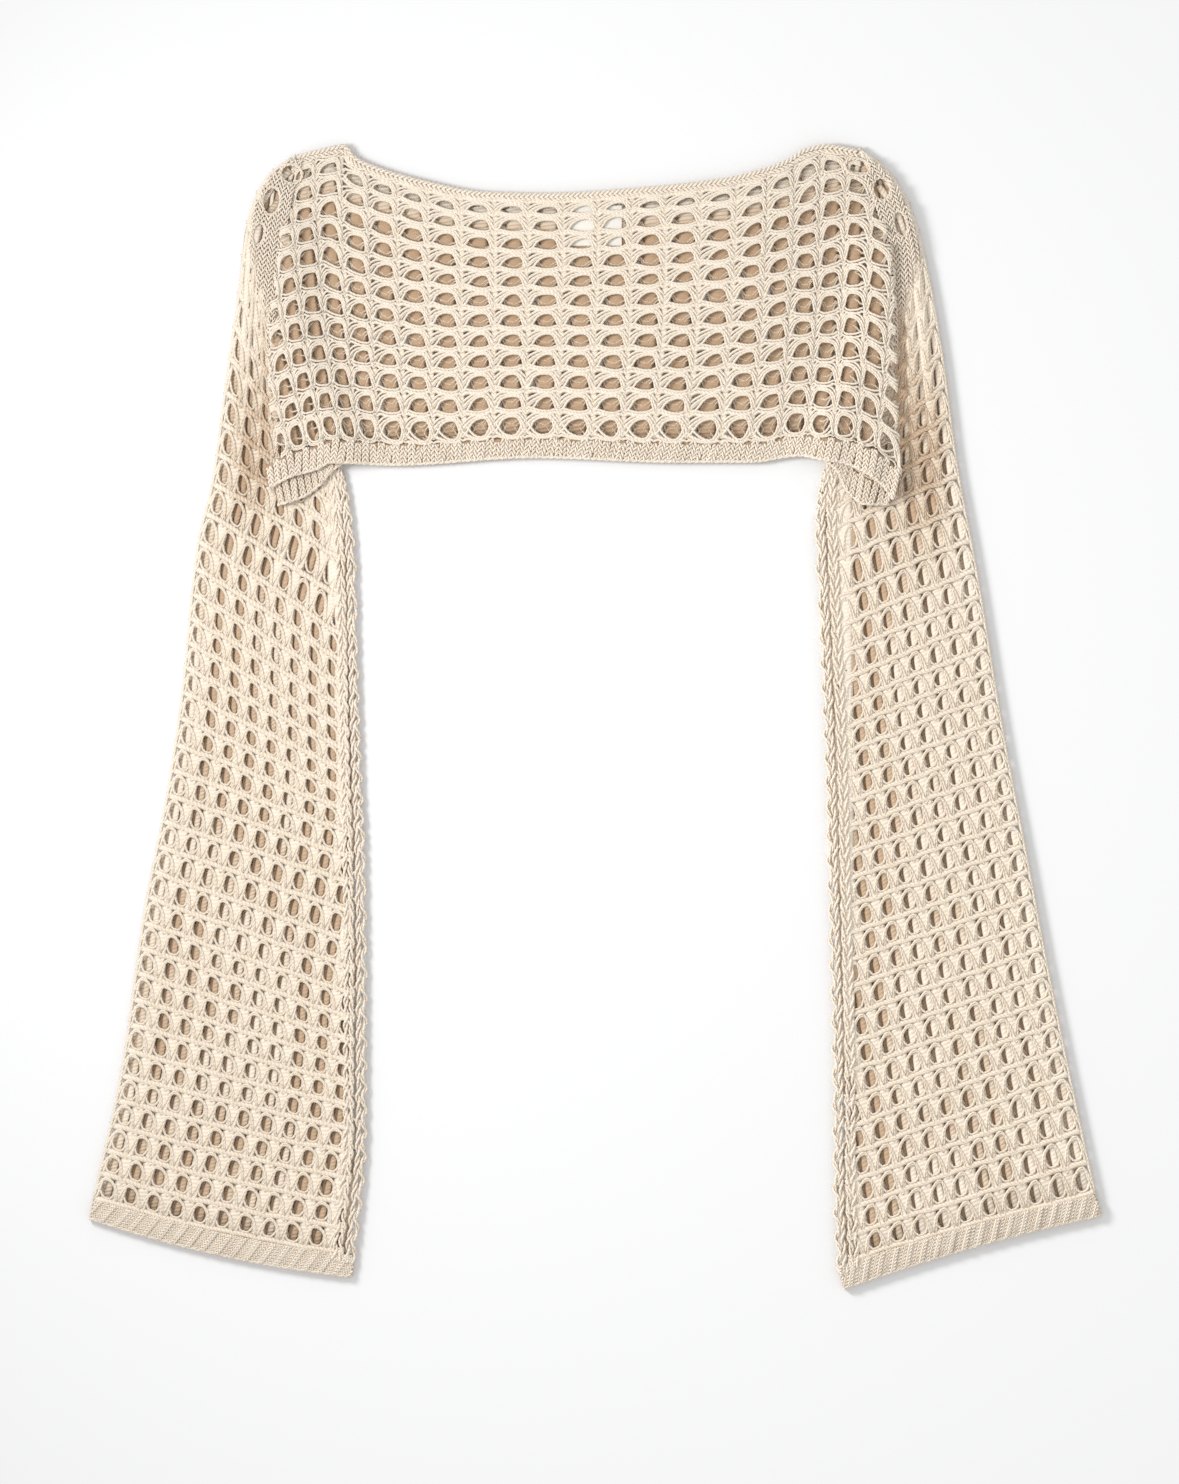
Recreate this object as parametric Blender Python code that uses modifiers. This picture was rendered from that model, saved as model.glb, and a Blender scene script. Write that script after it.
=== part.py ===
"""A cropped sweater in open knit, laid flat on a surface with its long wide sleeves drawn down.

The body is a front panel on a back panel, edged along the neck and shoulders and along the hem.
Each sleeve is a flattened tube whose courses fan round the shoulder, with a cuff band at its end.
The body's sides lie on the sleeves. Lengths are metres, and the tables are in millimetres.
X runs to the right across the hem, Y runs up to the neck, and Z is up from the surface.
"""
import math
from collections import namedtuple

import bmesh
import bpy
import numpy as np

MM = 0.001

# Cloth and clearances
WALL = 2.6 * MM
PLAIN_WALL = 2.2 * MM
HOLLOW = 0.8 * MM
LAYER_GAP = 0.6 * MM
LABEL_ROOM = 0.55 * MM
SEAM_GAP = 0.35 * MM
MESH_DENT = 1.0 * MM
SLEEVE_HEIGHT = PLAIN_WALL + HOLLOW + WALL

# Knitting
BODY_COLUMNS = 21
BODY_ROWS = 12
SLEEVE_COLUMNS = 9
SLEEVE_ROWS = 39
CUFF_END_ROW = 40

# How much the body's columns crowd at its sides, in two waves, and how its rows grow towards the hem
SIDE_CROWDING = 0.28
MIDDLE_CROWDING = 0.15
ROW_GROWTH = 0.06

# Finishes
YARN_ROUGHNESS = 0.9
LABEL_ROUGHNESS = 0.6
SHARP_EDGE = math.radians(50)
YARN_COLOUR = (0.90, 0.80, 0.66, 1.0)
BAND_COLOUR = (0.88, 0.77, 0.62, 1.0)
LABEL_COLOUR = (0.86, 0.86, 0.84, 1.0)

# Outline of the body, laid flat
Point = namedtuple("Point", "x y")
NECK_EDGE = [
    Point(-193, 365), Point(-178, 369), Point(-163, 372), Point(-157, 365), Point(-148, 360),
    Point(-117, 350), Point(-71, 341), Point(-33, 340), Point(21, 343), Point(84, 350),
    Point(108, 356), Point(124, 362), Point(135, 369), Point(149, 372), Point(169, 369),
]
FRONT_HEM = [
    Point(-214, 146), Point(-197, 155), Point(-180, 160), Point(-172, 164), Point(-163, 164),
    Point(-132, 163), Point(-41, 168), Point(53, 165), Point(100, 165), Point(132, 169),
    Point(147, 166), Point(160, 164), Point(174, 158), Point(186, 149), Point(193, 139),
]
BACK_HEM = [
    Point(-208, 136), Point(-192, 141), Point(-180, 149), Point(-172, 158), Point(-163, 164),
    Point(-132, 165), Point(-41, 170), Point(53, 167), Point(100, 167), Point(132, 170),
    Point(147, 166), Point(156, 160), Point(164, 145), Point(176, 137), Point(192, 137),
]
LEFT_SIDE = [
    Point(-193, 365), Point(-201, 336), Point(-205, 310), Point(-210, 271), Point(-213, 239),
    Point(-212, 206), Point(-213, 180), Point(-214, 146),
]
RIGHT_SIDE = [
    Point(169, 369), Point(182, 343), Point(189, 320), Point(193.5, 297), Point(195, 258), Point(196, 213),
    Point(197, 180), Point(199, 162), Point(193, 139),
]
BACK_INSET = 0.6 * MM
NECK_BAND_PART = 0.034
HEM_BAND_PART = 0.082
BACK_NECK_DROP = 5 * MM
NECK_DROP_POWER = 6
LABEL_ROOM_POWER = 8
BODY_LENGTH = 172 * MM
BAND_GAP = 0.8 * MM / BODY_LENGTH

# Sleeve courses: the row, where it starts at the outer fold and ends at the inner one, and how far its
# middle bows, outward where it runs down the armhole and so downward where it crosses the sleeve
Course = namedtuple("Course", "row outer_x outer_y inner_x inner_y bow")
LEFT_SLEEVE = [
    Course(0.0, -193.5, 366, -183, 214, 17.5),
    Course(1.5, -214, 349, -178, 199, 13.0),
    Course(3.0, -225, 322, -173, 184, 8.5),
    Course(5.2, -232, 271, -167, 166, 3.0),
    Course(7.8, -240, 216, -161, 144, 0.0),
    Course(11.0, -249, 151, -156, 96, -1.3),
    Course(13.0, -258, 114, -155, 45, -1.3),
    Course(19.3, -269, 11, -152, -44, 0.0),
    Course(22.5, -277, -43, -150, -86, 0.0),
    Course(27.6, -293, -127, -149, -177, 0.0),
    Course(33.9, -308, -231, -149, -268, 1.3),
    Course(39.0, -326, -312, -156, -349, 4.0),
    Course(40.0, -329, -326, -158, -364, 4.9),
]
RIGHT_SLEEVE = [
    Course(0.0, 169.6, 370, 170, 215, 25.0),
    Course(1.5, 188, 356, 164, 201, 18.5),
    Course(3.0, 203, 333, 159, 187, 11.0),
    Course(5.2, 214, 296, 153, 171, 4.0),
    Course(8.0, 225, 237, 147, 153, 0.0),
    Course(11.6, 235, 164, 143, 122, -1.3),
    Course(14.8, 247, 99, 146, 55, -1.3),
    Course(21.5, 265, -10, 150, -52, 0.0),
    Course(26.6, 281, -94, 152, -138, 0.0),
    Course(30.5, 293, -158, 154, -207, 0.0),
    Course(36.3, 313, -255, 155, -311, 0.0),
    Course(39.0, 325, -309, 157, -356, -2.0),
    Course(40.0, 329, -324, 161, -372, -3.0),
]
SCALLOP = 0.8 * MM
SEAM_STRIP = 0.12
FOLD_SHARE = 0.03
FOLD_RUN = 3.1 * MM
FOLD_HEIGHT = PLAIN_WALL + 0.5 * HOLLOW
STRIP_RIDGE = 1.0 - 0.3 * SEAM_STRIP
ARMHOLE_STEPS = 3

# Net steps: rows between those of the plainer skins, and steps across them
LOW_ROW_STEP = 3
HOLLOW_ROW_STEP = 6
HOLLOW_STEPS = 6
LOW_STEPS = 7
CUFF_ROW_STEPS = 4
CUFF_LOW_STEPS = 5
HEM_ROW_STEPS = 3
NECK_ROW_STEPS = 2

CUFF_LENGTH = 15 * MM
CUFF_EDGE_DROP = 0.7 * MM

# Points of one skin of a tube, by its rows and its shares across
Skin = namedtuple("Skin", "points rows across")

# Lengthwise pleats on a sleeve: rows they run between, place across it, and their height and width
Pleat = namedtuple("Pleat", "first_row last_row across height half_width")
SLEEVE_PLEATS = [
    Pleat(1.0, 12.0, 0.11, 1.3, 0.035),
    Pleat(3.0, 14.0, 0.22, 1.1, 0.035),
    Pleat(13.0, 39.0, 0.93, 0.5, 0.035),
]

# The sides of the body climb onto the sleeves: where a sleeve's hidden edge runs, from neck to hem
LEFT_STEP = [Point(-190, 372), Point(-202, 320), Point(-204, 296), Point(-201, 260), Point(-196, 235),
             Point(-184, 213), Point(-173, 184), Point(-165, 160), Point(-158, 120)]
RIGHT_STEP = [Point(168, 372), Point(184, 320), Point(186, 296), Point(186, 260), Point(181, 235),
              Point(169, 213), Point(158, 184), Point(149, 160), Point(144, 120)]
LIFT = SLEEVE_HEIGHT + 0.5 * MM
STEP_RUN = 32 * MM
SHOULDER_FLUSH_Y = 334 * MM
SHOULDER_LIFTED_Y = 306 * MM

# Ruffled corners of the hem
RUFFLE_HEIGHT = 2.4 * MM
RUFFLE_WAVE = 27 * MM
RUFFLE_SLANT = 0.25
RUFFLE_REACH = 62 * MM
RUFFLE_TOP_Y = 195 * MM
RUFFLE_FULL_Y = 165 * MM

HEM_RIBS = 84
CUFF_RIBS = 17
RIB_HEIGHT = 0.55 * MM

# The label is sewn to the back panel inside the neck
LABEL_LEFT = -18 * MM
LABEL_RIGHT = 17 * MM
LABEL_TOP = 332 * MM
LABEL_BOTTOM = 306 * MM
LABEL_THICKNESS = 0.45 * MM
LABEL_CLEARANCE = 0.3 * MM
LABEL_COLUMNS = 5
LABEL_ROWS = 4


def smooth_step(value):
    """Rises from 0 at value 0 to 1 at value 1 with level ends."""
    t = np.clip(value, 0.0, 1.0)
    return t * t * (3.0 - 2.0 * t)


def along_table(points, share):
    """Smooth curve through a table's points, read at a share of its length."""
    xy = np.array([(p.x, p.y) for p in points], float) * MM
    steps = np.hypot(*np.diff(xy, axis=0).T)
    knots = np.concatenate([[0.0], np.cumsum(steps)])
    knots = knots / knots[-1]
    return np.stack([monotone(knots, xy[:, axis], share) for axis in (0, 1)], axis=-1)


def monotone(knots, values, at):
    """Cubic interpolation that doesn't overshoot: slopes are harmonic means of their neighbours."""
    spans = np.diff(knots)
    secants = np.diff(values) / spans
    slopes = np.empty(len(values))
    slopes[0] = secants[0]
    slopes[-1] = secants[-1]
    same_way = secants[:-1] * secants[1:] > 0.0
    total = np.where(same_way, secants[:-1] + secants[1:], 1.0)
    slopes[1:-1] = np.where(same_way, 2.0 * secants[:-1] * secants[1:] / total, 0.0)
    at = np.asarray(at, float)
    k = np.clip(np.searchsorted(knots, at, side="right") - 1, 0, len(spans) - 1)
    t = (at - knots[k]) / spans[k]
    rise = t * t * (3.0 - 2.0 * t)
    lead_in = t * (1.0 - t) ** 2 * slopes[k] * spans[k]
    lead_out = t * t * (1.0 - t) * slopes[k + 1] * spans[k]
    return values[k] * (1.0 - rise) + values[k + 1] * rise + lead_in - lead_out


def across_spacing(share):
    """Columns of the body crowd together towards its side folds."""
    turn = 2.0 * math.pi * np.asarray(share, float)
    sides = SIDE_CROWDING * np.sin(turn) / (2.0 * math.pi)
    middle = MIDDLE_CROWDING * np.sin(2.0 * turn) / (4.0 * math.pi)
    return share - sides - middle


def body_plan(u, v, hem, neck_drop, inset):
    """Place on the flat body, u from its left side to its right and v from the neck edge to the hem.

    The four edges are blended: the sum of the two ruled surfaces less the one through the corners.
    """
    top_left, top_right = (along_table(NECK_EDGE, np.array(end)) for end in (0.0, 1.0))
    low_left, low_right = (along_table(hem, np.array(end)) for end in (0.0, 1.0))
    top = along_table(NECK_EDGE, u)
    low = along_table(hem, u)
    left = along_table(LEFT_SIDE[:-1] + [Point(*(low_left / MM))], v)
    right = along_table(RIGHT_SIDE[:-1] + [Point(*(low_right / MM))], v)
    u = np.asarray(u)[..., None]
    v = np.asarray(v)[..., None]
    ruled = (1 - v) * top + v * low + (1 - u) * left + u * right
    corners = (1 - v) * ((1 - u) * top_left + u * top_right) + v * ((1 - u) * low_left + u * low_right)
    place = ruled - corners
    middle = 1.0 - (2.0 * u[..., 0] - 1.0) ** NECK_DROP_POWER
    place[..., 1] -= neck_drop * middle * (1.0 - v[..., 0]) ** 2
    place[..., 0] += inset * (1.0 - 2.0 * u[..., 0])
    return place


def step_place(table, y):
    """X of a sleeve's hidden edge at a height on the body."""
    ys = np.array([p.y for p in table][::-1], float) * MM
    xs = np.array([p.x for p in table][::-1], float) * MM
    return np.interp(y, ys, xs)


def lift_at(place):
    """Height of the body's underside: on the surface in the middle, and over the sleeves at its sides."""
    x = place[..., 0]
    y = place[..., 1]
    left = smooth_step((step_place(LEFT_STEP, y) + STEP_RUN - x) / STEP_RUN)
    right = smooth_step((x - step_place(RIGHT_STEP, y) + STEP_RUN) / STEP_RUN)
    clear = smooth_step((SHOULDER_FLUSH_Y - y) / (SHOULDER_FLUSH_Y - SHOULDER_LIFTED_Y))
    return LIFT * np.maximum(left, right) * clear


def ruffle_at(place):
    """Waves of the two hem corners, which stand away from the sleeves."""
    x = place[..., 0]
    y = place[..., 1]
    from_left = x - FRONT_HEM[0].x * MM
    from_right = FRONT_HEM[-1].x * MM - x
    near = np.minimum(from_left, from_right)
    reach = smooth_step(1.0 - near / RUFFLE_REACH)
    low = smooth_step((RUFFLE_TOP_Y - y) / (RUFFLE_TOP_Y - RUFFLE_FULL_Y))
    along = near - RUFFLE_SLANT * (RUFFLE_FULL_Y - y)
    wave = 0.5 - 0.5 * np.cos(2.0 * math.pi * along / RUFFLE_WAVE)
    return RUFFLE_HEIGHT * wave * reach * low


def layer_gap(u):
    """Gap between the back and front panels: a seam's at the sides, and room for the label between."""
    return LAYER_GAP + LABEL_ROOM * (1.0 - (2.0 * np.asarray(u) - 1.0) ** LABEL_ROOM_POWER)


def back_under(u, v):
    """Underside of the back panel."""
    place = body_plan(u, v, BACK_HEM, BACK_NECK_DROP, BACK_INSET)
    return np.concatenate([place, (lift_at(place) + ruffle_at(place))[..., None]], axis=-1)


def front_under(u, v):
    """Underside of the front panel, one wall and a gap above the back panel's."""
    place = body_plan(u, v, FRONT_HEM, 0.0, 0.0)
    height = lift_at(place) + ruffle_at(place) + PLAIN_WALL + layer_gap(u)
    return np.concatenate([place, height[..., None]], axis=-1)


def raised(surface, height):
    """Copy of a surface moved straight up."""
    moved = surface.copy()
    moved[..., 2] += height
    return moved


def zip_chains(first, first_at, second, second_at):
    """Triangles between two chains of points, each with its place from 0 to 1 along them."""
    faces = []
    i = j = 0
    while i < len(first) - 1 or j < len(second) - 1:
        step_first = j == len(second) - 1
        if not step_first and i < len(first) - 1:
            step_first = first_at[i + 1] <= second_at[j + 1]
        if step_first:
            faces.append((first[i], first[i + 1], second[j]))
            i += 1
        else:
            faces.append((first[i], second[j + 1], second[j]))
            j += 1
    return faces


def grid_faces(index, closed):
    """Four-sided faces over a grid of point numbers, which closes on itself along its second way."""
    if closed:
        index = np.concatenate([index, index[:, :1]], axis=1)
    corners = (index[:-1, :-1], index[1:, :-1], index[1:, 1:], index[:-1, 1:])
    return np.stack([c.ravel() for c in corners], axis=-1).tolist()


def make_material(name, colour, roughness):
    """Plain finish of one piece."""
    material = bpy.data.materials.new(name)
    material.use_nodes = True
    shader = material.node_tree.nodes["Principled BSDF"]
    shader.inputs["Base Color"].default_value = colour
    shader.inputs["Roughness"].default_value = roughness
    shader.inputs["Metallic"].default_value = 0.0
    return material


def make_piece(name, points, faces, colour, parts):
    """One closed solid with its own material."""
    mesh = bpy.data.meshes.new(name)
    mesh.from_pydata([tuple(p) for p in points], [], faces)
    work = bmesh.new()
    work.from_mesh(mesh)
    bmesh.ops.recalc_face_normals(work, faces=work.faces)
    work.to_mesh(mesh)
    work.free()
    mesh.update()
    mesh.shade_smooth()
    mesh.set_sharp_from_angle(angle=SHARP_EDGE)
    mesh.materials.append(make_material(name, colour, YARN_ROUGHNESS))
    parts.objects.link(bpy.data.objects.new(name, mesh))


def sheet_wall(name, top, top_uv, low, low_uv, colour, parts):
    """Wall of an open sheet between a top grid and a plainer one below, closed round its rim."""
    top_index = np.arange(top.shape[0] * top.shape[1]).reshape(top.shape[:2])
    low_index = top_index.size + np.arange(low.shape[0] * low.shape[1]).reshape(low.shape[:2])
    faces = grid_faces(top_index, False) + grid_faces(low_index[:, ::-1], False)
    for end in (0, -1):
        faces += zip_chains(top_index[end], top_uv[1], low_index[end], low_uv[1])
        faces += zip_chains(top_index[:, end], top_uv[0], low_index[:, end], low_uv[0])
    points = np.concatenate([top.reshape(-1, 3), low.reshape(-1, 3)])
    make_piece(name, points, faces, colour, parts)


def tube_wall(name, top, low, hollow, colour, parts):
    """Wall of a flattened tube with open ends: a fine top skin, a plainer one below, and a plain hollow.

    Each skin is a Skin of points by row and share across; the top skin runs from fold to fold.
    """
    top_index = np.arange(top.points.shape[0] * top.points.shape[1]).reshape(top.points.shape[:2])
    low_index = top_index.size + np.arange(low.points.shape[0] * low.points.shape[1]).reshape(
        low.points.shape[:2])
    count = top_index.size + low_index.size
    hollow_index = count + np.arange(hollow.points.shape[0] * hollow.points.shape[1]).reshape(
        hollow.points.shape[:2])
    faces = grid_faces(top_index, False) + grid_faces(low_index[:, ::-1], False)
    faces += grid_faces(hollow_index[:, ::-1], True)
    for side in (0, -1):
        faces += zip_chains(top_index[:, side], top.rows, low_index[:, side], low.rows)
    outer_at = around_share(top.across, low.across) + [1.0]
    hollow_at = list(hollow.across) + [1.0]
    for end in (0, -1):
        ring = list(top_index[end]) + list(low_index[end, ::-1]) + [top_index[end, 0]]
        mouth = list(hollow_index[end]) + [hollow_index[end, 0]]
        faces += zip_chains(ring, outer_at, mouth, hollow_at)
    points = np.concatenate([skin.points.reshape(-1, 3) for skin in (top, low, hollow)])
    make_piece(name, points, faces, colour, parts)


def body_lattice(v_first, v_last, rows, steps_per_row):
    """Shares across and down the body: two steps for each column and some for each row between."""
    across = across_spacing(np.linspace(0.0, 1.0, 2 * BODY_COLUMNS + 1))
    down = np.linspace(0.0, 1.0, rows * steps_per_row + 1)
    return across, v_first + (v_last - v_first) * ((1.0 - ROW_GROWTH) * down + ROW_GROWTH * down * down)


def mesh_relief(columns, rows):
    """Height over an open knit, 0 on its bars and a dent at each hole, two steps to a hole each way."""
    relief = np.zeros((columns, rows))
    relief[1::2, 1::2] = -MESH_DENT
    return relief


def build_front(parts):
    """Front panel, dented at each hole of the net over a plain inside."""
    first = NECK_BAND_PART + BAND_GAP
    last = 1.0 - HEM_BAND_PART - BAND_GAP
    u, v = body_lattice(first, last, BODY_ROWS, 2)
    grid_u, grid_v = np.meshgrid(u, v, indexing="ij")
    top = raised(front_under(grid_u, grid_v), WALL)
    top[..., 2] += mesh_relief(len(u), len(v))
    low_v = v[::2]
    low = front_under(*np.meshgrid(u, low_v, indexing="ij"))
    sheet_wall("front_panel", top, (u, v), low, (u, low_v), YARN_COLOUR, parts)


def build_back(parts):
    """Back panel, plain: its underside rests and its top is under the front."""
    first = NECK_BAND_PART + BAND_GAP
    last = 1.0 - HEM_BAND_PART - BAND_GAP
    u, v = body_lattice(first, last, BODY_ROWS, 1)
    low = back_under(*np.meshgrid(u, v, indexing="ij"))
    sheet_wall("back_panel", raised(low, PLAIN_WALL), (u, v), low, (u, v), YARN_COLOUR, parts)


def build_band(name, under, v_first, v_last, wall, ribs, parts):
    """Band along the neck or the hem: ribs cross it, two steps to a rib, over a plain underside."""
    low_u = body_lattice(0.0, 1.0, 1, 1)[0]
    u = across_spacing(np.linspace(0.0, 1.0, 2 * ribs + 1)) if ribs else low_u
    v = np.linspace(v_first, v_last, HEM_ROW_STEPS if v_last == 1.0 else NECK_ROW_STEPS)
    top = raised(under(*np.meshgrid(u, v, indexing="ij")), wall)
    if ribs:
        top[1::2, :, 2] -= RIB_HEIGHT
    low = under(*np.meshgrid(low_u, v, indexing="ij"))
    sheet_wall(name, top, (u, v), low, (low_u, v), BAND_COLOUR, parts)


def build_label(parts):
    """Blank label, sewn flat on the inside of the back panel."""
    x = np.linspace(LABEL_LEFT, LABEL_RIGHT, LABEL_COLUMNS)
    y = np.linspace(LABEL_BOTTOM, LABEL_TOP, LABEL_ROWS)
    grid_x, grid_y = np.meshgrid(x, y, indexing="ij")
    height = np.full(grid_x.shape, PLAIN_WALL + LABEL_CLEARANCE)
    points = np.stack([grid_x, grid_y, height], axis=-1).reshape(-1, 3)
    index = np.arange(grid_x.size).reshape(grid_x.shape)
    mesh = bpy.data.meshes.new("label")
    mesh.from_pydata(points.tolist(), [], grid_faces(index, False))
    mesh.materials.append(make_material("label", LABEL_COLOUR, LABEL_ROUGHNESS))
    label = bpy.data.objects.new("label", mesh)
    thicken = label.modifiers.new("Thickness", "SOLIDIFY")
    thicken.thickness = LABEL_THICKNESS
    thicken.offset = 1.0
    parts.objects.link(label)


def sleeve_plan(courses, row, across):
    """Place on a flat sleeve at a row and a share across it, from the outer fold to the inner one."""
    rows = np.array([c.row for c in courses])
    columns = np.array([c[1:] for c in courses], float) * MM
    outer_x, outer_y, inner_x, inner_y, bow = (monotone(rows, columns[:, k], row) for k in range(5))
    run_x = inner_x - outer_x
    run_y = inner_y - outer_y
    width = np.hypot(run_x, run_y)
    bend = -np.sign(inner_x) * 4.0 * across * (1.0 - across) * bow
    x = outer_x + run_x * across + run_y / width * bend
    y = outer_y + run_y * across - run_x / width * bend
    return np.stack([x, y], axis=-1), width


def pleat_height(row, across):
    """Height of the lengthwise pleats, each a soft ridge that fades out at its ends."""
    height = np.zeros(np.broadcast(row, across).shape)
    for pleat in SLEEVE_PLEATS:
        length = np.clip((row - pleat.first_row) / (pleat.last_row - pleat.first_row), 0.0, 1.0)
        side = (across - pleat.across) / pleat.half_width
        height += pleat.height * MM * np.sin(math.pi * length) ** 0.5 * np.exp(-side * side)
    return height


def fold_round(across, width):
    """Share of the height at a place across: 1 on the flat, 0 at a fold, a quarter ellipse between."""
    near = np.minimum(across, 1.0 - across) * width / FOLD_RUN
    return np.sqrt(1.0 - (1.0 - np.clip(near, 0.0, 1.0)) ** 2)


def with_height(plan, height):
    """Points of a plan at a height each."""
    return np.concatenate([plan, np.broadcast_to(height, plan.shape[:-1])[..., None]], axis=-1)


def top_skin(courses, rows, across):
    """Upper outside of a flattened sleeve, from fold to fold, with its pleats."""
    row = rows[:, None]
    plan, width = sleeve_plan(courses, row, across[None, :])
    flat = SLEEVE_HEIGHT + pleat_height(row, across[None, :])
    height = FOLD_HEIGHT + (flat - FOLD_HEIGHT) * fold_round(across[None, :], width)
    return Skin(with_height(plan, height), rows, across)


def low_skin(courses, rows, across):
    """Lower outside of a flattened sleeve: flat where it rests, and round towards its folds."""
    plan, width = sleeve_plan(courses, rows[:, None], across[None, :])
    return Skin(with_height(plan, FOLD_HEIGHT * (1.0 - fold_round(across[None, :], width))), rows, across)


def hollow_skin(courses, rows):
    """Plain inside of a flattened sleeve, a wall's thickness in from its folds."""
    row = rows[:, None]
    top = np.linspace(0.0, 1.0, HOLLOW_STEPS + 1)
    low = top[-2:0:-1]
    share = np.concatenate([top, low])[None, :]
    _, width = sleeve_plan(courses, row, share)
    inset = WALL / width
    plan, _ = sleeve_plan(courses, row, inset + (1.0 - 2.0 * inset) * share)
    side = np.concatenate([np.sign(top * (1.0 - top)), -np.ones(len(low))])[None, :]
    points = with_height(plan, FOLD_HEIGHT + 0.5 * HOLLOW * side * np.ones_like(width))
    return Skin(points, rows, np.array(around_share(top, low[::-1])))


def around_share(top_across, low_across):
    """Place of each point round a flattened ring, 0 to 1: over the top, and back below."""
    return list(0.5 * top_across) + list(1.0 - 0.5 * low_across[::-1])


def build_sleeve(name, courses, parts):
    """Sleeve: a net of dents on its upper layer, scalloped folds and a plain flat lower layer."""
    last_row = SLEEVE_ROWS - 0.5 * SEAM_GAP / CUFF_LENGTH
    rows = np.append(np.linspace(0.0, SLEEVE_ROWS, 2 * SLEEVE_ROWS + 1)[:-1], last_row)
    net = np.linspace(FOLD_SHARE, 1.0 - SEAM_STRIP, 2 * SLEEVE_COLUMNS + 1)
    across = np.concatenate([[0.0], net, [STRIP_RIDGE, 1.0]])
    top = top_skin(courses, rows, across)
    top.points[1::2, 2:2 * SLEEVE_COLUMNS + 1:2, 2] -= MESH_DENT
    way = top.points[:, -1, :2] - top.points[:, 0, :2]
    way /= np.linalg.norm(way, axis=1)[:, None]
    bulge = SCALLOP * np.cos(math.pi * np.arange(len(rows)))[:, None]
    bulge[:ARMHOLE_STEPS] = 0.0
    top.points[:, 0, :2] -= way * bulge
    top.points[:, -1, :2] += way * bulge
    low = low_skin(courses, rows[::LOW_ROW_STEP], np.linspace(FOLD_SHARE, 1.0 - FOLD_SHARE, LOW_STEPS))
    tube_wall(name, top, low, hollow_skin(courses, rows[::HOLLOW_ROW_STEP]), YARN_COLOUR, parts)


def build_cuff(name, courses, parts):
    """Cuff band: a ring that carries on from the sleeve, with ribs above that sink to its edge."""
    start = SLEEVE_ROWS + 0.5 * SEAM_GAP / CUFF_LENGTH
    rows = np.linspace(start, CUFF_END_ROW, CUFF_ROW_STEPS)
    ribbed = np.linspace(FOLD_SHARE, 1.0 - FOLD_SHARE, 2 * CUFF_RIBS + 1)
    top = top_skin(courses, rows, np.concatenate([[0.0], ribbed, [1.0]]))
    top.points[:, 2:2 * CUFF_RIBS + 1:2, 2] -= RIB_HEIGHT
    top.points[-1, 1:-1, 2] -= CUFF_EDGE_DROP
    low = low_skin(courses, rows, np.linspace(FOLD_SHARE, 1.0 - FOLD_SHARE, CUFF_LOW_STEPS))
    tube_wall(name, top, low, hollow_skin(courses, rows), BAND_COLOUR, parts)


def main():
    """Clears the scene and builds the sweater's pieces."""
    for old in list(bpy.data.objects):
        bpy.data.objects.remove(old, do_unlink=True)
    parts = bpy.data.collections.new("cropped_sweater")
    bpy.context.scene.collection.children.link(parts)
    build_front(parts)
    build_back(parts)
    hem_start = 1.0 - HEM_BAND_PART
    build_band("neck_band_front", front_under, 0.0, NECK_BAND_PART, WALL, 0, parts)
    build_band("neck_band_back", back_under, 0.0, NECK_BAND_PART, PLAIN_WALL, 0, parts)
    build_band("hem_band_front", front_under, hem_start, 1.0, WALL, HEM_RIBS, parts)
    build_band("hem_band_back", back_under, hem_start, 1.0, PLAIN_WALL, 0, parts)
    build_label(parts)
    for side, courses in (("left", LEFT_SLEEVE), ("right", RIGHT_SLEEVE)):
        build_sleeve("sleeve_" + side, courses, parts)
        build_cuff("cuff_" + side, courses, parts)


main()
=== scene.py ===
"""Looks of a cropped open-knit sweater laid flat: every course of yarn is a set of modelled strands.

The strands run on the same surfaces as the solids of the frame. Lengths are metres, and the tables
are in millimetres. X runs to the right across the hem, Y up to the neck, and Z up from the surface.
"""

import logging
import math
from dataclasses import dataclass, replace
from enum import Enum
from typing import NamedTuple, Sequence

import bpy
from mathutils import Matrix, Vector
import numpy as np


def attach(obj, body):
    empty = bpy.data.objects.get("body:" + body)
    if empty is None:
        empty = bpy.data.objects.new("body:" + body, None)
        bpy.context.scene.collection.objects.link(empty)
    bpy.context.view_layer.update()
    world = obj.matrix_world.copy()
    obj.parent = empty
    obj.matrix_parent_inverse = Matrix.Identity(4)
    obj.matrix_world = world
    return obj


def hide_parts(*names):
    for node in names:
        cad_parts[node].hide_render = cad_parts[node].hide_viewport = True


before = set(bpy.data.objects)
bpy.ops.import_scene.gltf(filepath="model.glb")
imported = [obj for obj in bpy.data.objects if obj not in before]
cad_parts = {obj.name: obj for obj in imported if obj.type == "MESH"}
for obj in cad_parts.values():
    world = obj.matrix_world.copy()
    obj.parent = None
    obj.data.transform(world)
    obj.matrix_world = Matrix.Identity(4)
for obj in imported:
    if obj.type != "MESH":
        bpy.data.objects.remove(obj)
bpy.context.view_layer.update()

LOG = logging.getLogger("sweater")
Array = np.ndarray
MM = 0.001
PIXEL = 0.65 * MM


class Point(NamedTuple):
    """A place on the flat garment, in millimetres."""
    x: float
    y: float


class Course(NamedTuple):
    """A sleeve's course: its row, its outer and inner ends and the bow of its middle."""
    row: float
    outer_x: float
    outer_y: float
    inner_x: float
    inner_y: float
    bow: float


class Pleat(NamedTuple):
    """A soft lengthwise ridge on a sleeve: the rows it runs between, its place, height and width."""
    first_row: float
    last_row: float
    across: float
    height: float
    half_width: float


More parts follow.
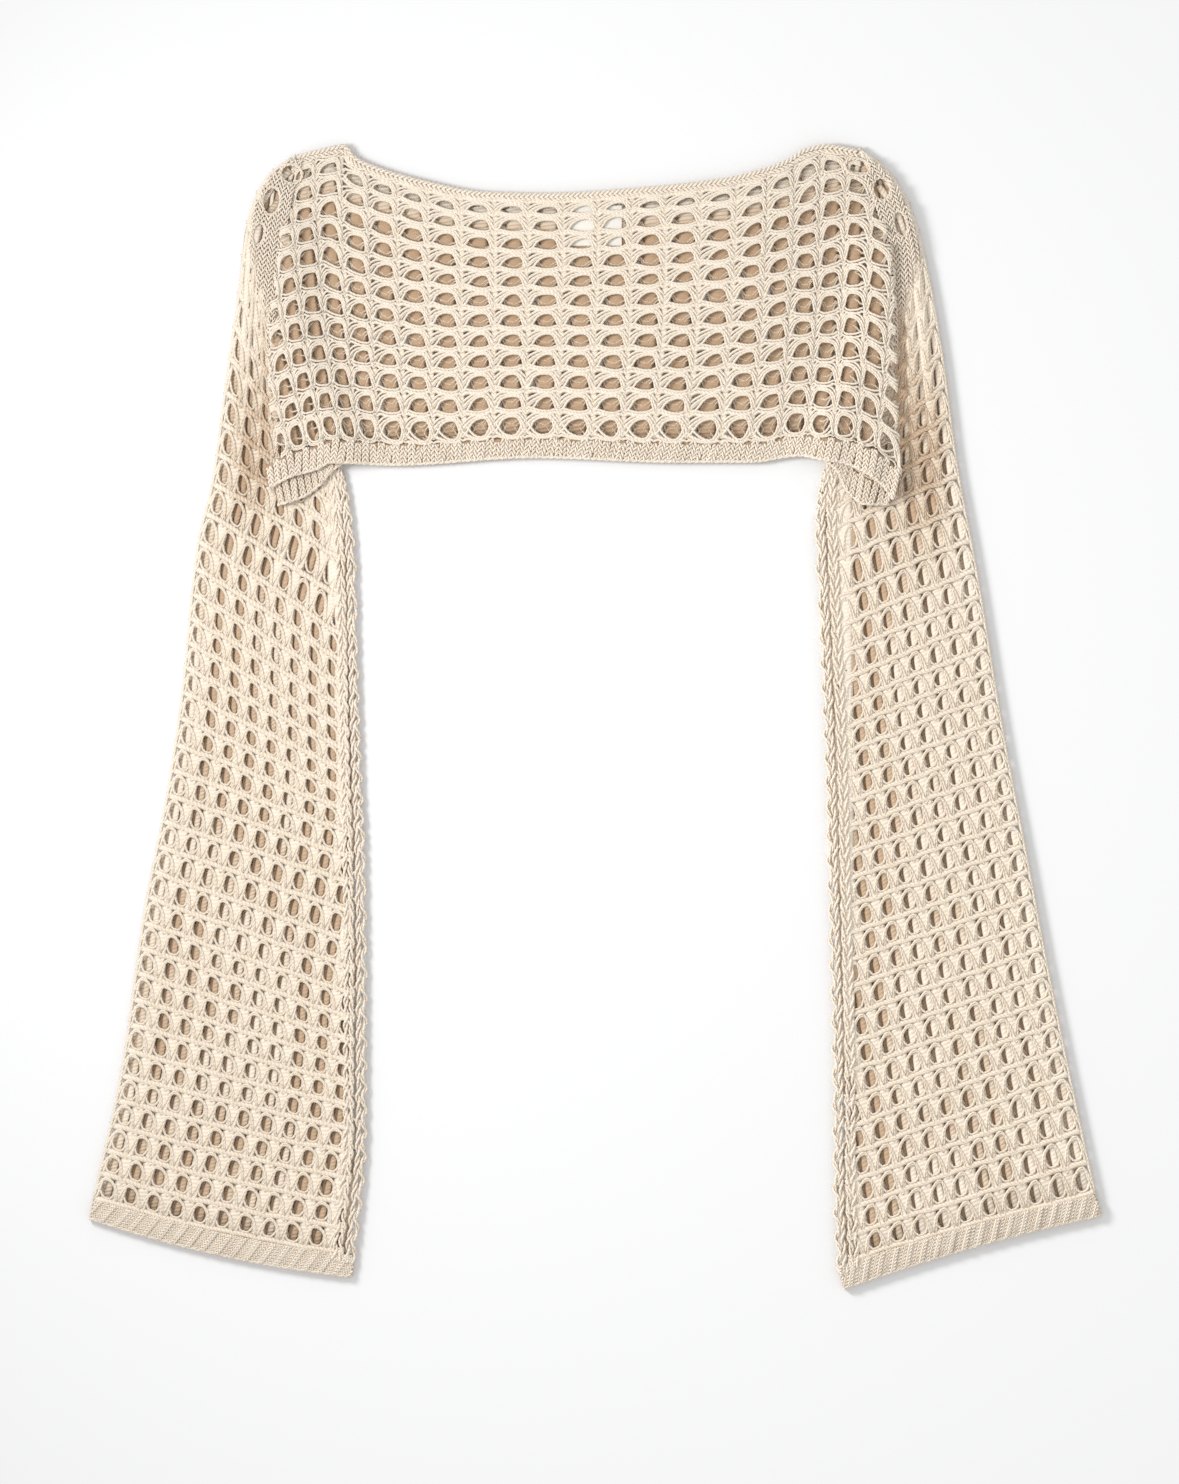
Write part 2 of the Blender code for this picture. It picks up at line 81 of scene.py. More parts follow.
class Knot(NamedTuple):
    """A place on a strand of a stitch: pitches from the hole's middle, rows down, height in mm."""
    across: float
    down: float
    height: float


class Loop(NamedTuple):
    """A strand of a stitch: its knots from the hole's middle to the column, its width and flatness.

    A strand with a skip of 3 takes only each third of the places where strands are sampled.
    """
    knots: tuple[Knot, ...]
    wide: float = 1.0
    flat: float = 1.0
    skip: int = 1


class Opening(NamedTuple):
    """A large oval hole of a shoulder: its middle and half sizes in mm, and its lean in degrees."""
    x: float
    y: float
    half_x: float
    half_y: float
    lean: float

    def holds(self, xy: Array) -> Array:
        """Which places lie inside it: those whose turned and scaled distance from its middle is under one.

        Args:
            xy: places in metres, with x and y last.

        Returns:
            True for each place inside.
        """
        turn = math.radians(self.lean)
        x = xy[..., 0] / MM - self.x
        y = xy[..., 1] / MM - self.y
        across = (x * math.cos(turn) - y * math.sin(turn)) / self.half_x
        along = (x * math.sin(turn) + y * math.cos(turn)) / self.half_y
        return across ** 2 + along ** 2 < 1.0

    def rim(self, share: Array) -> Array:
        """Places round its edge: a cosine across and a sine along, turned by its lean.

        Args:
            share: shares of the way round.

        Returns:
            Places in metres, with x and y last.
        """
        turn = math.radians(self.lean)
        angle = 2.0 * math.pi * share
        across = self.half_x * np.cos(angle)
        along = self.half_y * np.sin(angle)
        x = self.x + across * math.cos(turn) + along * math.sin(turn)
        y = self.y - across * math.sin(turn) + along * math.cos(turn)
        return np.stack([x, y], axis=-1) * MM


class Rope(NamedTuple):
    """Two wound strands: their reach from its middle, length of a turn and radius, in mm.

    Under is how much more painted shade its underside carries than its top, flat its height as a share of its
    width, and step how far apart its strands' points are, in mm.
    """
    reach: float
    turn: float
    radius: float
    under: float = 0.5
    flat: float = 0.7
    step: float = 0.8


class StripRope(NamedTuple):
    """A rope of a sleeve's inner strip: mm in from the fold, its sizes, its hand and its swell in mm."""
    inward: float
    rope: Rope
    hand: int
    swell: float


class Post(NamedTuple):
    """The flat bundle of crossings behind a column of a net.

    Its half width is in pitches, its flatness a share of its width, its height in mm over the middle of the
    wall, and its depth says how much painted shade it carries as the shade within the knit. One with
    a paler value has its painted shade lifted in patches, from -1 for few to 1 for nearly all of it. Beside
    is how far it lies from the column's middle, in pitches.
    """
    half_width: float
    flat: float
    height: float
    depth: float
    paler: float | None = None
    beside: float = 0.0


class Lining(NamedTuple):
    """Knit seen in a shoulder's hole, painted dark as the shaded inside: its share of the way round, its half
    width and its painted shade.
    """
    share: float
    half_width: float
    depth: float


class Shade(NamedTuple):
    """A soft patch of painted shadow: its middle and half sizes in mm, and how much painted shade its middle
    takes.
    """
    x: float
    y: float
    half_x: float
    half_y: float
    depth: float

    def at(self, xy: Array) -> Array:
        """Its painted shadow at places, which falls off as a bell curve.

        Args:
            xy: places in metres, with x and y last.

        Returns:
            How much painted shade each place takes.
        """
        across = (xy[:, 0] / MM - self.x) / self.half_x
        along = (xy[:, 1] / MM - self.y) / self.half_y
        return self.depth * np.exp(-across ** 2 - along ** 2)


class HoleColumn(NamedTuple):
    """X of a column of holes on the body, at the top of the net and at its foot."""
    number: float
    top_x: float
    low_x: float


class Side(Enum):
    """Which way a sleeve lies, as a sign along X."""
    LEFT = -1
    RIGHT = 1


class Layer(Enum):
    """Which layer of flattened knit a net is in."""
    UPPER = "upper"
    LOWER = "lower"


class Seed(Enum):
    """Seeds of the draws that make the knit uneven."""
    FRONT = 11
    BACK = 12
    HEM_FRONT = 21
    HEM_BACK = 22
    LOWER_CUFF = 31
    UPPER_CUFF = 32
    LEFT_SLEEVE = 41
    LEFT_SLEEVE_TOP = 42
    RIGHT_SLEEVE = 51
    RIGHT_SLEEVE_TOP = 52
    WALES = 61


# Cloth and clearances of the solids; the body rises over the sleeves at its sides and ruffles near its hem
WALL = 2.6 * MM
PLAIN_WALL = 2.2 * MM
HOLLOW = 0.8 * MM
LAYER_GAP = 0.6 * MM
LABEL_ROOM = 0.55 * MM
SLEEVE_HEIGHT = PLAIN_WALL + HOLLOW + WALL
LIFT = SLEEVE_HEIGHT + 0.5 * MM
STEP_RUN = 32 * MM
SHOULDER_FLUSH_Y = 334 * MM
SHOULDER_LIFTED_Y = 306 * MM
RUFFLE_HEIGHT = 2.4 * MM
RUFFLE_WAVE = 27 * MM
RUFFLE_REACH = 62 * MM
RUFFLE_TOP_Y = 195 * MM
RUFFLE_FULL_Y = 165 * MM
FOLD_RUN = 3.1 * MM
FOLD_HEIGHT = PLAIN_WALL + 0.5 * HOLLOW

# Outline of the body, laid flat; the sides run down from the neck, and the back's hem reaches lower
NECK_EDGE = (
    Point(-193, 365), Point(-178, 369), Point(-163, 372), Point(-157, 365), Point(-148, 360),
    Point(-117, 350), Point(-71, 341), Point(-33, 340), Point(21, 343), Point(84, 350),
    Point(108, 356), Point(124, 362), Point(135, 369), Point(149, 372), Point(169, 369),
)
FRONT_HEM = (
    Point(-214, 146), Point(-197, 155), Point(-180, 160), Point(-172, 164), Point(-163, 164),
    Point(-132, 163), Point(-41, 168), Point(53, 165), Point(100, 165), Point(132, 169),
    Point(147, 166), Point(160, 164), Point(174, 158), Point(186, 149), Point(193, 139),
)
BACK_HEM = (
    Point(-208, 136), Point(-192, 141), Point(-180, 149), Point(-172, 158), Point(-163, 164),
    Point(-132, 165), Point(-41, 170), Point(53, 167), Point(100, 167), Point(132, 170),
    Point(147, 166), Point(156, 160), Point(164, 145), Point(176, 137), Point(192, 137),
)
LEFT_SIDE = (
    Point(-193, 365), Point(-201, 336), Point(-205, 310), Point(-210, 271), Point(-213, 239),
    Point(-212, 206), Point(-213, 180), Point(-214, 146),
)
RIGHT_SIDE = (
    Point(169, 369), Point(182, 343), Point(189, 320), Point(193.5, 297), Point(195, 258),
    Point(196, 213), Point(197, 180), Point(199, 162), Point(193, 139),
)
# Hidden edges of the sleeves, which the body rises over
LEFT_STEP = (
    Point(-190, 372), Point(-202, 320), Point(-204, 296), Point(-201, 260), Point(-196, 235),
    Point(-184, 213), Point(-173, 184), Point(-165, 160), Point(-158, 120),
)
RIGHT_STEP = (
    Point(168, 372), Point(184, 320), Point(186, 296), Point(186, 260), Point(181, 235),
    Point(169, 213), Point(158, 184), Point(149, 160), Point(144, 120),
)
# Courses of the sleeves, from the shoulder to the cuff's edge
LEFT_SLEEVE = (
    Course(0.0, -193.5, 366, -183, 214, 17.5),
    Course(1.5, -214, 349, -178, 199, 13.0),
    Course(3.0, -225, 322, -173, 184, 8.5),
    Course(5.2, -232, 271, -167, 166, 3.0),
    Course(7.8, -240, 216, -161, 144, 0.0),
    Course(11.0, -249, 151, -156, 96, -1.3),
    Course(13.0, -258, 114, -155, 45, -1.3),
    Course(19.3, -269, 11, -152, -44, 0.0),
    Course(22.5, -277, -43, -150, -86, 0.0),
    Course(27.6, -293, -127, -149, -177, 0.0),
    Course(33.9, -308, -231, -149, -268, 1.3),
    Course(39.0, -326, -312, -156, -349, 4.0),
    Course(40.0, -329, -326, -158, -364, 4.9),
)
RIGHT_SLEEVE = (
    Course(0.0, 169.6, 370, 170, 215, 25.0),
    Course(1.5, 188, 356, 164, 201, 18.5),
    Course(3.0, 203, 333, 159, 187, 11.0),
    Course(5.2, 214, 296, 153, 171, 4.0),
    Course(8.0, 225, 237, 147, 153, 0.0),
    Course(11.6, 235, 164, 143, 122, -1.3),
    Course(14.8, 247, 99, 146, 55, -1.3),
    Course(21.5, 265, -10, 150, -52, 0.0),
    Course(26.6, 281, -94, 152, -138, 0.0),
    Course(30.5, 293, -158, 154, -207, 0.0),
    Course(36.3, 313, -255, 155, -311, 0.0),
    Course(39.0, 325, -309, 157, -356, -2.0),
    Course(40.0, 329, -324, 161, -372, -3.0),
)
SLEEVE_PLEATS = (
    Pleat(1.0, 12.0, 0.11, 1.3, 0.035),
    Pleat(3.0, 14.0, 0.22, 1.1, 0.035),
    Pleat(13.0, 39.0, 0.93, 0.5, 0.035),
)

# Columns of holes, counted from the left side
HOLE_COLUMNS = (
    HoleColumn(-0.5, -216, -192), HoleColumn(1.5, -189.5, -170.6), HoleColumn(3.5, -156.7, -147.9),
    HoleColumn(5.5, -119.6, -114.1), HoleColumn(8.5, -54.9, -56.2), HoleColumn(10.5, -10.1, -13.3),
    HoleColumn(13.5, 56.9, 48.4), HoleColumn(15.5, 101.7, 91.3), HoleColumn(17.5, 137.5, 129.0),
    HoleColumn(19.5, 170.6, 161.5), HoleColumn(21.5, 201, 188),
)

# Large holes down the front of each shoulder
SHOULDER_OPENINGS = {
    Side.LEFT: (Opening(-197.3, 352.3, 7.0, 6.2, 20), Opening(-210.3, 334.8, 5.8, 9.0, 8),
                Opening(-218.7, 313.3, 4.0, 7.4, 12)),
    Side.RIGHT: (Opening(170.0, 356.9, 8.3, 5.4, 12), Opening(185.6, 342.6, 5.8, 7.4, -8),
                 Opening(197.9, 319.8, 4.4, 8.6, -14)),
}

# Painted shadow on the knit beside the body, from the armhole down, where the body and the crumpled sleeve
# shade it
UNDERARM_SHADES = {
    Side.LEFT: (Shade(-223, 170, 15, 46, 1.0), Shade(-213, 213, 5, 40, 0.5)),
    Side.RIGHT: (Shade(212, 170, 19, 54, 1.3), Shade(199, 230, 5, 55, 1.2)),
}

# Share of a patch's shade that falls on yarn on top of the knit
TOP_SHADE = 0.25

# Ropes of a sleeve's inner strip, from its fold inwards
LONG_LOOPS = Rope(1.0, 16.2, 0.85, 0.5, step=1.1)
STRIP_ROPES = (
    StripRope(1.5, Rope(0.9, 16.2, 0.85, 0.35, step=1.1), 1, 1.2), StripRope(5.0, LONG_LOOPS, -1, 0.5),
    StripRope(9.6, LONG_LOOPS, 1, 0.5), StripRope(13.4, LONG_LOOPS, -1, 0.5),
)

# Strands of one stitch, from the hole's middle to the column, each an arch that dips into a V.
# Rows down are 0 at the middle of the hole above the bar and 1 at the middle of the hole below it.
BODY_STITCH = (
    Loop((Knot(0.0, 0.365, 0.25), Knot(0.12, 0.36, 0.25), Knot(0.22, 0.335, 0.2), Knot(0.31, 0.27, 0.1),
          Knot(0.38, 0.23, 0.0), Knot(0.44, 0.27, -0.1), Knot(0.5, 0.36, -0.2))),
    Loop((Knot(0.0, 0.50, 0.1), Knot(0.15, 0.49, 0.1), Knot(0.26, 0.44, -0.1), Knot(0.35, 0.38, -0.2),
          Knot(0.43, 0.42, -0.3), Knot(0.5, 0.5, -0.3)), 2.1, 0.35),
    Loop((Knot(0.0, 0.60, 0.1), Knot(0.12, 0.61, 0.1), Knot(0.23, 0.66, 0.0), Knot(0.33, 0.79, -0.2),
          Knot(0.40, 0.98, -0.3), Knot(0.5, 1.2, -0.3)), 1.9, 0.35),
    Loop((Knot(0.0, 0.46, 0.0), Knot(0.15, 0.475, 0.1), Knot(0.28, 0.53, 0.2), Knot(0.39, 0.68, 0.2),
          Knot(0.5, 0.86, 0.2))),
    Loop((Knot(0.0, 0.56, 0.3), Knot(0.12, 0.575, 0.3), Knot(0.24, 0.65, 0.3), Knot(0.35, 0.80, 0.2),
          Knot(0.43, 0.98, 0.1), Knot(0.5, 1.12, 0.1))),
    Loop((Knot(0.0, 0.655, 0.1), Knot(0.12, 0.67, 0.1), Knot(0.22, 0.745, 0.1), Knot(0.305, 0.90, 0.1),
          Knot(0.34, 1.08, 0.0), Knot(0.39, 1.26, -0.1), Knot(0.5, 1.42, -0.2))),
)
# Last bar of the body, which rounds the feet of its holes
BODY_FOOT = (
    Loop((Knot(0.0, 0.54, 0.2), Knot(0.14, 0.50, 0.2), Knot(0.25, 0.38, 0.2), Knot(0.33, 0.18, 0.1),
          Knot(0.38, -0.02, 0.0), Knot(0.5, -0.2, -0.3))),
    Loop((Knot(0.0, 0.60, -0.2), Knot(0.2, 0.57, -0.2), Knot(0.36, 0.40, -0.2), Knot(0.5, 0.2, -0.2)),
         1.8, 0.4),
    Loop((Knot(0.0, 0.66, 0.2), Knot(0.22, 0.62, 0.2), Knot(0.38, 0.54, 0.2), Knot(0.5, 0.60, 0.1)), 1.2),
)
# Bars of the sleeves: a rim over the hole, a filler, a cord and two arches
SLEEVE_STITCH = (
    Loop((Knot(0.0, 0.34, 0.1), Knot(0.13, 0.33, 0.1), Knot(0.22, 0.25, 0.05), Knot(0.29, 0.11, 0.0),
          Knot(0.38, 0.02, -0.1), Knot(0.5, -0.03, -0.3)), 0.95, 0.8),
    Loop((Knot(0.0, 0.46, -0.05), Knot(0.5, 0.47, -0.05)), 2.5, 0.4, 3),
    Loop((Knot(0.0, 0.47, 0.1), Knot(0.25, 0.50, 0.2), Knot(0.5, 0.54, 0.0)), 1.5, 0.55, 3),
    Loop((Knot(0.0, 0.58, 0.2), Knot(0.13, 0.61, 0.2), Knot(0.27, 0.75, 0.3), Knot(0.37, 0.94, 0.25),
          Knot(0.42, 1.12, 0.2), Knot(0.46, 1.26, 0.1), Knot(0.5, 1.38, 0.1))),
    Loop((Knot(0.0, 0.65, 0.1), Knot(0.12, 0.665, 0.1), Knot(0.22, 0.73, 0.1), Knot(0.30, 0.88, 0.1),
          Knot(0.335, 1.05, 0.1), Knot(0.33, 1.20, 0.05), Knot(0.35, 1.36, 0.0), Knot(0.41, 1.50, -0.1),
          Knot(0.5, 1.62, -0.1))),
)
# The left sleeve's bars are softer than the right one's
SOFT_BAR = Loop((Knot(0.0, 0.50, -0.1), Knot(0.25, 0.51, 0.0), Knot(0.5, 0.53, -0.2)), 1.7, 0.45, 3)
# Rows above and below a stitch's foot over which its strands lean sideways
LEAN_REACH = 0.4
# Places across a stitch where its strands are sampled, closer where they bend
STITCH_PLACES = np.array([-0.5, -0.42, -0.34, -0.26, -0.17, -0.06, 0.06, 0.17, 0.26, 0.34, 0.42])
LOWER_PLACES = np.array([-0.5, -0.38, -0.25, -0.1, 0.1, 0.25, 0.38])
# Least distance of such a place from a strand's ends
END_MARGIN = 0.04


def smooth_step(value: Array) -> Array:
    """Rises from 0 at value 0 to 1 at value 1 with level ends: three squares less two cubes."""
    t = np.clip(value, 0.0, 1.0)
    return t * t * (3.0 - 2.0 * t)


def monotone(knots: Array, values: Array, at: Array) -> Array:
    """Cubic interpolation that doesn't overshoot: slopes are harmonic means of their neighbours.

    Args:
        knots: rising places of the known values.
        values: the known values.
        at: places to read.

    Returns:
        The value at each place.
    """
    knots = np.asarray(knots, float)
    values = np.asarray(values, float)
    spans = np.diff(knots)
    secants = np.diff(values) / spans
    slopes = np.empty(len(values))
    slopes[0] = secants[0]
    slopes[-1] = secants[-1]
    same_way = secants[:-1] * secants[1:] > 0.0
    total = np.where(same_way, secants[:-1] + secants[1:], 1.0)
    slopes[1:-1] = np.where(same_way, 2.0 * secants[:-1] * secants[1:] / total, 0.0)
    at = np.asarray(at, float)
    k = np.clip(np.searchsorted(knots, at, side="right") - 1, 0, len(spans) - 1)
    t = (at - knots[k]) / spans[k]
    rise = t * t * (3.0 - 2.0 * t)
    lead_in = t * (1.0 - t) ** 2 * slopes[k] * spans[k]
    lead_out = t * t * (1.0 - t) * slopes[k + 1] * spans[k]
    return values[k] * (1.0 - rise) + values[k + 1] * rise + lead_in - lead_out


def along_table(points: Sequence[Point], share: Array) -> Array:
    """Smooth curve through a table's points, read at a share of its length.

    Args:
        points: the table, in millimetres.
        share: places along it, 0 to 1.

    Returns:
        Places in metres, with x and y last.
    """
    xy = np.array([(p.x, p.y) for p in points], float) * MM
    knots = np.concatenate([[0.0], np.cumsum(np.hypot(*np.diff(xy, axis=0).T))])
    knots = knots / knots[-1]
    return np.stack([monotone(knots, xy[:, axis], share) for axis in (0, 1)], axis=-1)


def fold_round(near: Array) -> Array:
    """Share of full height at a distance in from a fold: a quarter ellipse over the fold's run."""
    return np.sqrt(1.0 - (1.0 - np.clip(near / FOLD_RUN, 0.0, 1.0)) ** 2)


def longest_run(chosen: Array) -> Array:
    """Finds the longest unbroken run of chosen places.

    Args:
        chosen: True for each chosen place.

    Returns:
        The indices of that run.
    """
    breaks = np.flatnonzero(~np.concatenate([[False], chosen, [False]]))
    widest = np.diff(breaks).argmax()
    return np.arange(breaks[widest], breaks[widest + 1] - 1)


def runs_outside(path: Array, openings: Sequence[Opening]) -> list[slice]:
    """Parts a path where it lies outside the openings.

    Args:
        path: its points.
        openings: holes that it may not cross.

    Returns:
        Its unbroken runs of three points or more.
    """
    inside = np.zeros(len(path), bool)
    for opening in openings:
        inside |= opening.holds(path[:, :2])
    changes = np.flatnonzero(np.diff(np.concatenate([[True], inside, [True]]).astype(int)))
    return [slice(first, last) for first, last in zip(changes[::2], changes[1::2]) if last - first > 2]


def unit(vectors: Array) -> Array:
    """Vectors scaled to length one."""
    return vectors / np.maximum(np.linalg.norm(vectors, axis=-1, keepdims=True), 1e-9)


def path_frame(path: Array) -> tuple[Array, Array, Array]:
    """Ways along a path, level across it and out of it: the last is the cross product of the others.

    Args:
        path: its points.

    Returns:
        The three ways at each of its points, each of length one.
    """
    along = unit(np.gradient(path, axis=0))
    level = np.stack([along[:, 1], -along[:, 0], np.zeros(len(path))], axis=-1)
    level = unit(level + 1e-6)
    return along, level, unit(np.cross(level, along))


def path_length(path: Array) -> Array:
    """Distance along a path at each of its points."""
    return np.concatenate([[0.0], np.cumsum(np.linalg.norm(np.diff(path, axis=0), axis=1))])


def even_path(path: Array, step: float) -> Array:
    """Reads a path again at even steps of its length.

    Args:
        path: its points.
        step: about how far apart the new ones are.

    Returns:
        The new points.
    """
    length = path_length(path)
    count = max(2, int(round(length[-1] / step)) + 1)
    at = np.linspace(0.0, length[-1], count)
    return np.stack([np.interp(at, length, path[:, axis]) for axis in range(3)], axis=-1)


class Wander:
    """Even unevenness of hand-drawn cloth: smooth seeded noise over a grid, read between its points."""

    def __init__(self, seed: Seed, columns: int, rows: int) -> None:
        """Draws the grid's offsets."""
        self.grid = np.random.default_rng(seed.value).uniform(-1.0, 1.0, (2, columns + 1, rows + 1))

    def read(self, column: Array, row: Array) -> tuple[Array, Array]:
        """Two offsets at each place: the four nearest draws, blended by smooth steps.

        Args:
            column: places across the grid.
            row: places down it.

        Returns:
            The offsets, from -1 to 1.
        """
        limit = np.array(self.grid.shape[1:]) - 1.001
        x = np.clip(column, 0.0, limit[0])
        y = np.clip(row, 0.0, limit[1])
        i = x.astype(int)
        j = y.astype(int)
        a = smooth_step(x - i)
        b = smooth_step(y - j)
        g = self.grid
        low = g[:, i, j] * (1 - a) + g[:, i + 1, j] * a
        high = g[:, i, j + 1] * (1 - a) + g[:, i + 1, j + 1] * a
        both = low * (1 - b) + high * b
        return both[0], both[1]


def add_node(tree: bpy.types.NodeTree, kind: str, values: dict[str | int, float] | None = None,
             **settings: str | bool) -> bpy.types.Node:
    """Adds a shader node.

    Args:
        tree: the material's nodes.
        kind: its type's name, without ShaderNode.
        values: numbers for its sockets, by name or place.
        settings: its own settings.

    Returns:
        The node.
    """
    node = tree.nodes.new("ShaderNode" + kind)
    for name, value in settings.items():
        setattr(node, name, value)
    for socket, value in (values or {}).items():
        node.inputs[socket].default_value = value
    return node


def wire(tree: bpy.types.NodeTree, *links: tuple[bpy.types.Node, str, bpy.types.Node, str | int]) -> None:
    """Joins nodes: each link is a node, its output, the next node and its input."""
    for source, output, target, socket in links:
        tree.links.new(source.outputs[output], target.inputs[socket])


def principled(name: str, values: dict[str, float]) -> tuple[bpy.types.Material, bpy.types.Node]:
    """Makes a material.

    Args:
        name: its name.
        values: numbers for its shader's sockets.

    Returns:
        The material and its shader.
    """
    material = bpy.data.materials.new(name)
    material.use_nodes = True
    shader = material.node_tree.nodes["Principled BSDF"]
    for socket, value in values.items():
        shader.inputs[socket].default_value = value
    return material, shader


@dataclass(frozen=True)
class YarnFinish:
    """Soft matt two-ply yarn: pale where lit, with painted shade that makes it warmer and darker low in the
    knit.
    """
    name: str
    pale: tuple[float, float, float]
    warm: tuple[float, float, float]
    shaded: tuple[float, float, float]
    warm_shade: float = 0.45
    roughness: float = 0.85
    specular: float = 0.25
    sheen: float = 0.25
    sheen_roughness: float = 0.5
    mottle_scale: float = 140.0
    mottle_detail: float = 3.0
    mottle_low: float = 0.3
    mottle_high: float = 0.7
    mottle_shade: float = 0.08
    fibre_scale: float = 1800.0
    fibre_detail: float = 2.0
    twist_share: float = 0.5
    ply_length: float = 2.6 * MM
    ply_bump: float = 0.6
    ply_height: float = 0.4 * MM
    ply_shade: float = 0.3
    valley_low: float = -0.9
    valley_high: float = -0.2

    def material(self) -> bpy.types.Material:
        """Mixes the three colours by the strand's painted shade, mottles them at random, paints shade into
        the valleys of the twist and raises the twist of the ply.

        The twist is a sine of the distance along the strand plus the angle round it.

        Returns:
            The material.
        """
        material, shader = principled(self.name, {
            "Roughness": self.roughness, "Sheen Weight": self.sheen,
            "Sheen Roughness": self.sheen_roughness, "Specular IOR Level": self.specular})
        tree = material.node_tree
        depth = add_node(tree, "Attribute", attribute_name="depth")
        ramp = add_node(tree, "ValToRGB")
        stops = ramp.color_ramp.elements
        stops[0].color = (*self.pale, 1.0)
        stops[1].color = (*self.shaded, 1.0)
        stops.new(self.warm_shade).color = (*self.warm, 1.0)
        place = add_node(tree, "TexCoord")
        mottle = add_node(tree, "TexNoise", {"Scale": self.mottle_scale, "Detail": self.mottle_detail})
        shade = add_node(tree, "MapRange", {"From Min": self.mottle_low, "From Max": self.mottle_high,
                                            "To Min": -self.mottle_shade, "To Max": self.mottle_shade})
        total = add_node(tree, "Math", operation="ADD", use_clamp=True)
        strand = add_node(tree, "UVMap", uv_map="strand")
        split = add_node(tree, "SeparateXYZ")
        turns = add_node(tree, "Math", {1: 2.0 * math.pi / (self.ply_length / MM)}, operation="MULTIPLY")
        angle = add_node(tree, "Math", {1: 4.0 * math.pi}, operation="MULTIPLY_ADD")
        twist = add_node(tree, "Math", operation="SINE")
        # Painted shade in the valleys between the plies of the twist, added to the random mottle
        valley = add_node(tree, "MapRange", {"From Min": self.valley_low, "From Max": self.valley_high,
                                             "To Min": self.ply_shade, "To Max": 0.0})
        valley_shade_and_mottle = add_node(tree, "Math", operation="ADD")
        fibre = add_node(tree, "TexNoise", {"Scale": self.fibre_scale, "Detail": self.fibre_detail})
        relief = add_node(tree, "Math", {1: self.twist_share}, operation="MULTIPLY_ADD")
        bump = add_node(tree, "Bump", {"Strength": self.ply_bump, "Distance": self.ply_height})
        wire(tree,
             (place, "Object", mottle, "Vector"), (place, "Object", fibre, "Vector"),
             (mottle, "Fac", shade, "Value"), (depth, "Fac", total, 0), (twist, "Value", valley, "Value"),
             (valley, "Result", valley_shade_and_mottle, 0), (shade, "Result", valley_shade_and_mottle, 1), (valley_shade_and_mottle, "Value", total, 1),
             (total, "Value", ramp, "Fac"), (ramp, "Color", shader, "Base Color"),
             (strand, "UV", split, "Vector"), (split, "X", turns, 0), (split, "Y", angle, 0),
             (turns, "Value", angle, 2), (angle, "Value", twist, 0), (twist, "Value", relief, 0),
             (fibre, "Fac", relief, 2), (relief, "Value", bump, "Height"),
             (bump, "Normal", shader, "Normal"))
        return material


@dataclass(frozen=True)
class LabelFinish:
    """Plain white satin-woven tape."""
    name: str = "label_tape"
    colour: tuple[float, float, float] = (0.93, 0.91, 0.86)
    hollow_shade: float = 0.95
    roughness: float = 0.55
    rib_scale: float = 600.0
    rib_bump: float = 0.2
    rib_height: float = 0.1 * MM

    def material(self) -> bpy.types.Material:
        """Fine crosswise ribs of a woven tape, as bump and a little shade.

        Returns:
            The material.
        """
        material, shader = principled(self.name, {"Roughness": self.roughness})
        tree = material.node_tree
        place = add_node(tree, "TexCoord")
        weave = add_node(tree, "TexWave", {"Scale": self.rib_scale}, bands_direction="Y")
        shade = add_node(tree, "Mix", data_type="RGBA")
        shade.inputs["A"].default_value = (*(self.hollow_shade * c for c in self.colour), 1.0)
        shade.inputs["B"].default_value = (*self.colour, 1.0)
        bump = add_node(tree, "Bump", {"Strength": self.rib_bump, "Distance": self.rib_height})
        wire(tree,
             (place, "Object", weave, "Vector"), (weave, "Fac", shade, "Factor"),
             (shade, "Result", shader, "Base Color"), (weave, "Fac", bump, "Height"),
             (bump, "Normal", shader, "Normal"))
        return material


